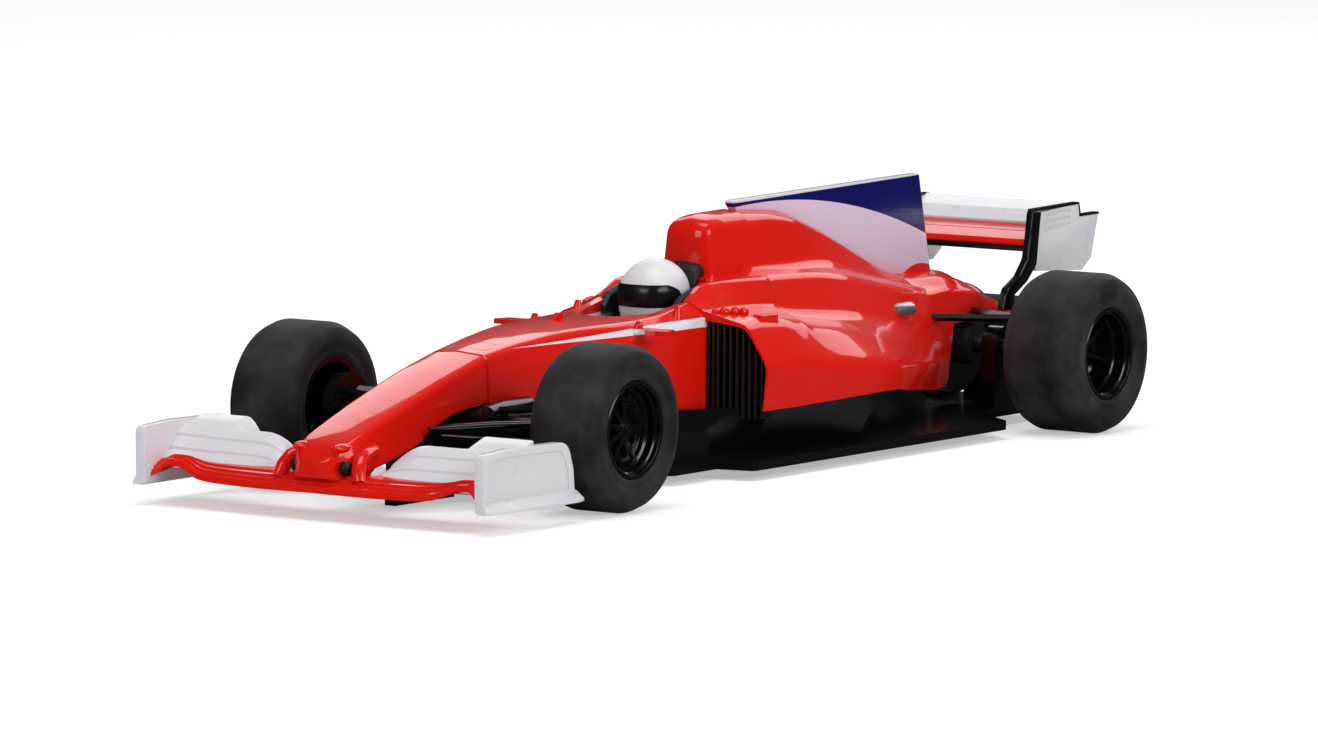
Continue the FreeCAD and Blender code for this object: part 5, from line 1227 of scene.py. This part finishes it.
add_front_wing()
add_front_flaps()
add_front_endplates()


# Rear wing

# Outlines (x, z, radius) of the panel, of the black band along its front, which becomes the leg, and of the
# black edges on its top and step; then their ranges of y
REAR_PANEL = [
    (-65.6, 28.3, 0.3), (-67.6, 28.1, 0.4), (-76.7, 28.65, 0.2), (-77.1, 26.95, 0.2), (-82.0, 27.0, 0.4),
    (-80.2, 21.1, 0.9), (-77.9, 19.6, 0.8), (-66.0, 20.3, 0.8), (-65.2, 22.0, 0.6),
]
REAR_BAND = [
    (-64.9, 28.35, 0.3), (-66.9, 28.2, 0.2), (-66.4, 25.0, 0.8), (-65.9, 21.2, 1.0), (-63.6, 19.1, 1.0),
    (-60.2, 17.4, 0.6), (-60.6, 15.6, 0), (-57.6, 15.6, 0), (-58.6, 18.4, 1.5), (-61.8, 20.0, 1.5),
    (-63.7, 22.0, 1.5), (-64.4, 25.0, 1.0),
]
REAR_TRIMS = [
    [(-65.2, 28.25, 0), (-65.2, 28.6, 0), (-76.7, 28.85, 0), (-76.7, 28.55, 0)],
    [(-76.6, 28.8, 0), (-76.9, 28.75, 0), (-77.3, 27.0, 0), (-77.0, 26.9, 0)],
    [(-76.9, 26.85, 0), (-76.9, 27.15, 0), (-82.0, 27.2, 0), (-82.0, 26.9, 0)],
]
REAR_PANEL_SIDES = (11.35, 12.25)
REAR_BAND_SIDES = (11.3, 12.45)
REAR_TRIM_SIDES = (11.3, 12.3)
# The louvres' levels and their outline above a level
LOUVRE_LEVELS = (27.6, 26.7, 25.8)
LOUVRE = [(-68.0, 0.0, 0.1), (-74.6, 0.35, 0.1), (-74.6, 0.1, 0.1), (-68.0, -0.25, 0.1)]

REAR_HALF = 11.38
# The wing's elements: outline (x, z, radius), slot and the node that each stands for
REAR_ELEMENTS = {
    "rear_main": ([
        (-64.4, 23.7, 0.3), (-64.9, 24.5, 0.5), (-67.6, 25.3, 2.5), (-71.9, 26.0, 0.1), (-71.9, 25.7, 0.1),
        (-66.5, 23.5, 2.0),
    ], "red_plastic", "rear_wing_main"),
    "rear_black_strip": ([
        (-64.2, 22.95, 0.3), (-64.3, 23.65, 0.3), (-66.6, 23.6, 0.6), (-70.8, 25.1, 0.2), (-70.6, 24.6, 0.2),
        (-66.6, 22.95, 1.0),
    ], "black_plastic", "rear_wing_main"),
    "rear_flap": ([
        (-71.3, 25.7, 0.2), (-71.0, 26.3, 0.3), (-73.3, 27.7, 1.5), (-76.1, 28.85, 0.1), (-76.2, 28.6, 0.1),
        (-73.6, 26.8, 1.5),
    ], "white_plastic", "rear_wing_flap"),
}


def add_rear_endplates():
    """Silver-white panels with a black front band that becomes the leg, black edges and three louvres."""
    panel = plate("panel", REAR_PANEL, "y", REAR_PANEL_SIDES)
    louvres = []
    for level in LOUVRE_LEVELS:
        outline = [(x, level + up, radius) for x, up, radius in LOUVRE]
        louvres.append(plate("louvre", outline, "y", (12.1, 13.0), 2))
    combined(panel, louvres, "DIFFERENCE")
    bevelled(panel, 0.1, 2)
    nodes = ["rear_wing_endplate_left", "rear_wing_endplate_right"]
    dress(paired("rear_endplates", [panel]), "silver_white", nodes=nodes)
    parts = [bevelled(plate("band", REAR_BAND, "y", REAR_BAND_SIDES), 0.2, 3)]
    parts += [plate("trim", outline, "y", REAR_TRIM_SIDES, 1) for outline in REAR_TRIMS]
    dress(paired("rear_wing_frames", parts), "black_plastic", nodes=nodes)


def add_rear_wing():
    """The red main plane with a black strip below it, and the steep white flap."""
    for name, (outline, slot, node) in REAR_ELEMENTS.items():
        dress(plate(name, outline, "y", (-REAR_HALF, REAR_HALF), 5), slot, nodes=[node])


add_rear_endplates()
add_rear_wing()


# Small mouldings

# Red tabs on the left: outline (x, y, radius). The small fin ahead of the cockpit: outline (x, z, radius)
MIRROR_TAB = [(21.2, 8.2, 0.1), (21.2, 12.6, 0.5), (23.9, 13.4, 0.5), (24.3, 11.6, 0.6), (22.6, 8.2, 0.1)]
SHOULDER_TAB = [(0.0, 12.4, 0.2), (0.0, 14.4, 0.4), (3.0, 14.0, 0.4), (3.0, 12.2, 0.2)]
NOSE_FIN = [(30.6, 19.7, 0), (29.0, 21.2, 0.35), (28.3, 21.2, 0.3), (28.1, 19.7, 0)]
# Round bars on the left: points of the route, and the radius at each
STALKS = [
    ([(22.4, 7.7, 18.6), (22.4, 7.9, 19.6), (22.3, 8.0, 20.1)], [0.8, 0.55, 0.35]),
    ([(13.3, 7.6, 19.4), (13.2, 7.6, 20.7), (13.1, 7.6, 21.15)], [0.7, 0.5, 0.35]),
]
CHEEK = (
    [(74.0, 4.0, 7.9), (76.4, 4.7, 7.8), (78.2, 5.2, 7.2), (79.2, 5.6, 6.2), (79.5, 5.9, 4.9)],
    [1.0, 1.0, 0.95, 0.9, 0.9],
)
# Bumps on the left, the last one on the nose: middle and radii
BUMPS = [
    ((6.6, 10.4, 20.2), (0.8, 0.7, 0.7)), ((5.1, 11.0, 20.15), (0.7, 0.6, 0.75)),
    ((3.7, 11.4, 20.05), (0.7, 0.6, 0.65)), ((8.0, 9.9, 20.3), (0.6, 0.5, 0.5)),
    ((78.9, 2.95, 8.75), (1.7, 0.85, 0.6)),
]
# An exhaust: its profile (x, radius), its line's y and z, and its height as a share of its width
EXHAUST = [(-37.2, 0.0), (-37.3, 0.8), (-38.2, 1.1), (-40.9, 1.25), (-41.0, 0.95), (-39.2, 0.8), (-39.2, 0.0)]
EXHAUST_LINE = (8.0, 16.9)
EXHAUST_FLAT = 0.75
# The drum and the arms behind the nose, on the left: route, radii, and height as a share of width
FRONT_ARMS = [
    (
        [(45.0, 6.6, 11.3), (45.4, 6.8, 11.3), (52.0, 7.4, 11.2), (55.6, 7.8, 10.9), (56.2, 7.9, 10.9)],
        [0.7, 1.3, 1.45, 1.35, 0.7], 1.0,
    ),
    (
        [(64.6, 5.6, 10.0), (62.0, 7.6, 10.1), (57.5, 10.5, 10.2), (53.5, 15.5, 10.4)],
        [0.5, 0.9, 0.95, 0.7], 0.6,
    ),
    ([(60.5, 4.6, 8.6), (58.5, 7.5, 8.3), (55.5, 12.0, 8.0), (53.0, 15.5, 8.0)], [0.6, 0.8, 0.8, 0.6], 0.8),
]


def rod(route, radii, flat=1.0):
    """A round bar along a route; flat squeezes its height."""
    rings = []
    for i, spot in enumerate(route):
        before = Vector(route[max(0, i - 1)])
        after = Vector(route[min(len(route) - 1, i + 1)])
        along = (after - before).normalized()
        side = along.cross(Vector((0, 0, 1))).normalized()
        up = side.cross(along)
        rings.append([tuple(Vector(spot) + radii[i] * (c * side + flat * s * up)) for c, s in around(16)])
    return loft("rod", rings)


def add_mouldings():
    """Red bumps, tabs and stalks on the painted body."""
    parts = [plate("mirror_tab", MIRROR_TAB, "z", (18.65, 19.25))]
    parts += [rod(*stalk) for stalk in STALKS] + [lump("bump", *bump) for bump in BUMPS] + [rod(*CHEEK)]
    parts.append(bevelled(plate("shoulder_tab", SHOULDER_TAB, "z", (18.4, 19.75)), 0.15, 2))
    centre = plate("nose_fin", NOSE_FIN, "y", (-0.35, 0.35))
    return dress(paired("body_mouldings", parts, [centre]), "red_plastic", nodes=["mirrors"])


def add_exhausts():
    """A short silver pipe sunk in each shoulder, open to the rear."""
    y, z = EXHAUST_LINE
    rings = []
    for x, radius in EXHAUST:
        rings.append([(x, y + radius * c, z + EXHAUST_FLAT * radius * s) for c, s in around(24)])
    pipe = loft("pipe", rings, caps=False)
    return dress(paired("exhaust_pipes", [pipe]), "silver_plastic", nodes=["exhaust_tips"])


def add_front_arms():
    """Glossy black drums and arms behind the nose, beside the hull."""
    return dress(paired("front_arms", [rod(*arm) for arm in FRONT_ARMS]), "black_plastic")


add_mouldings()
add_exhausts()
add_front_arms()
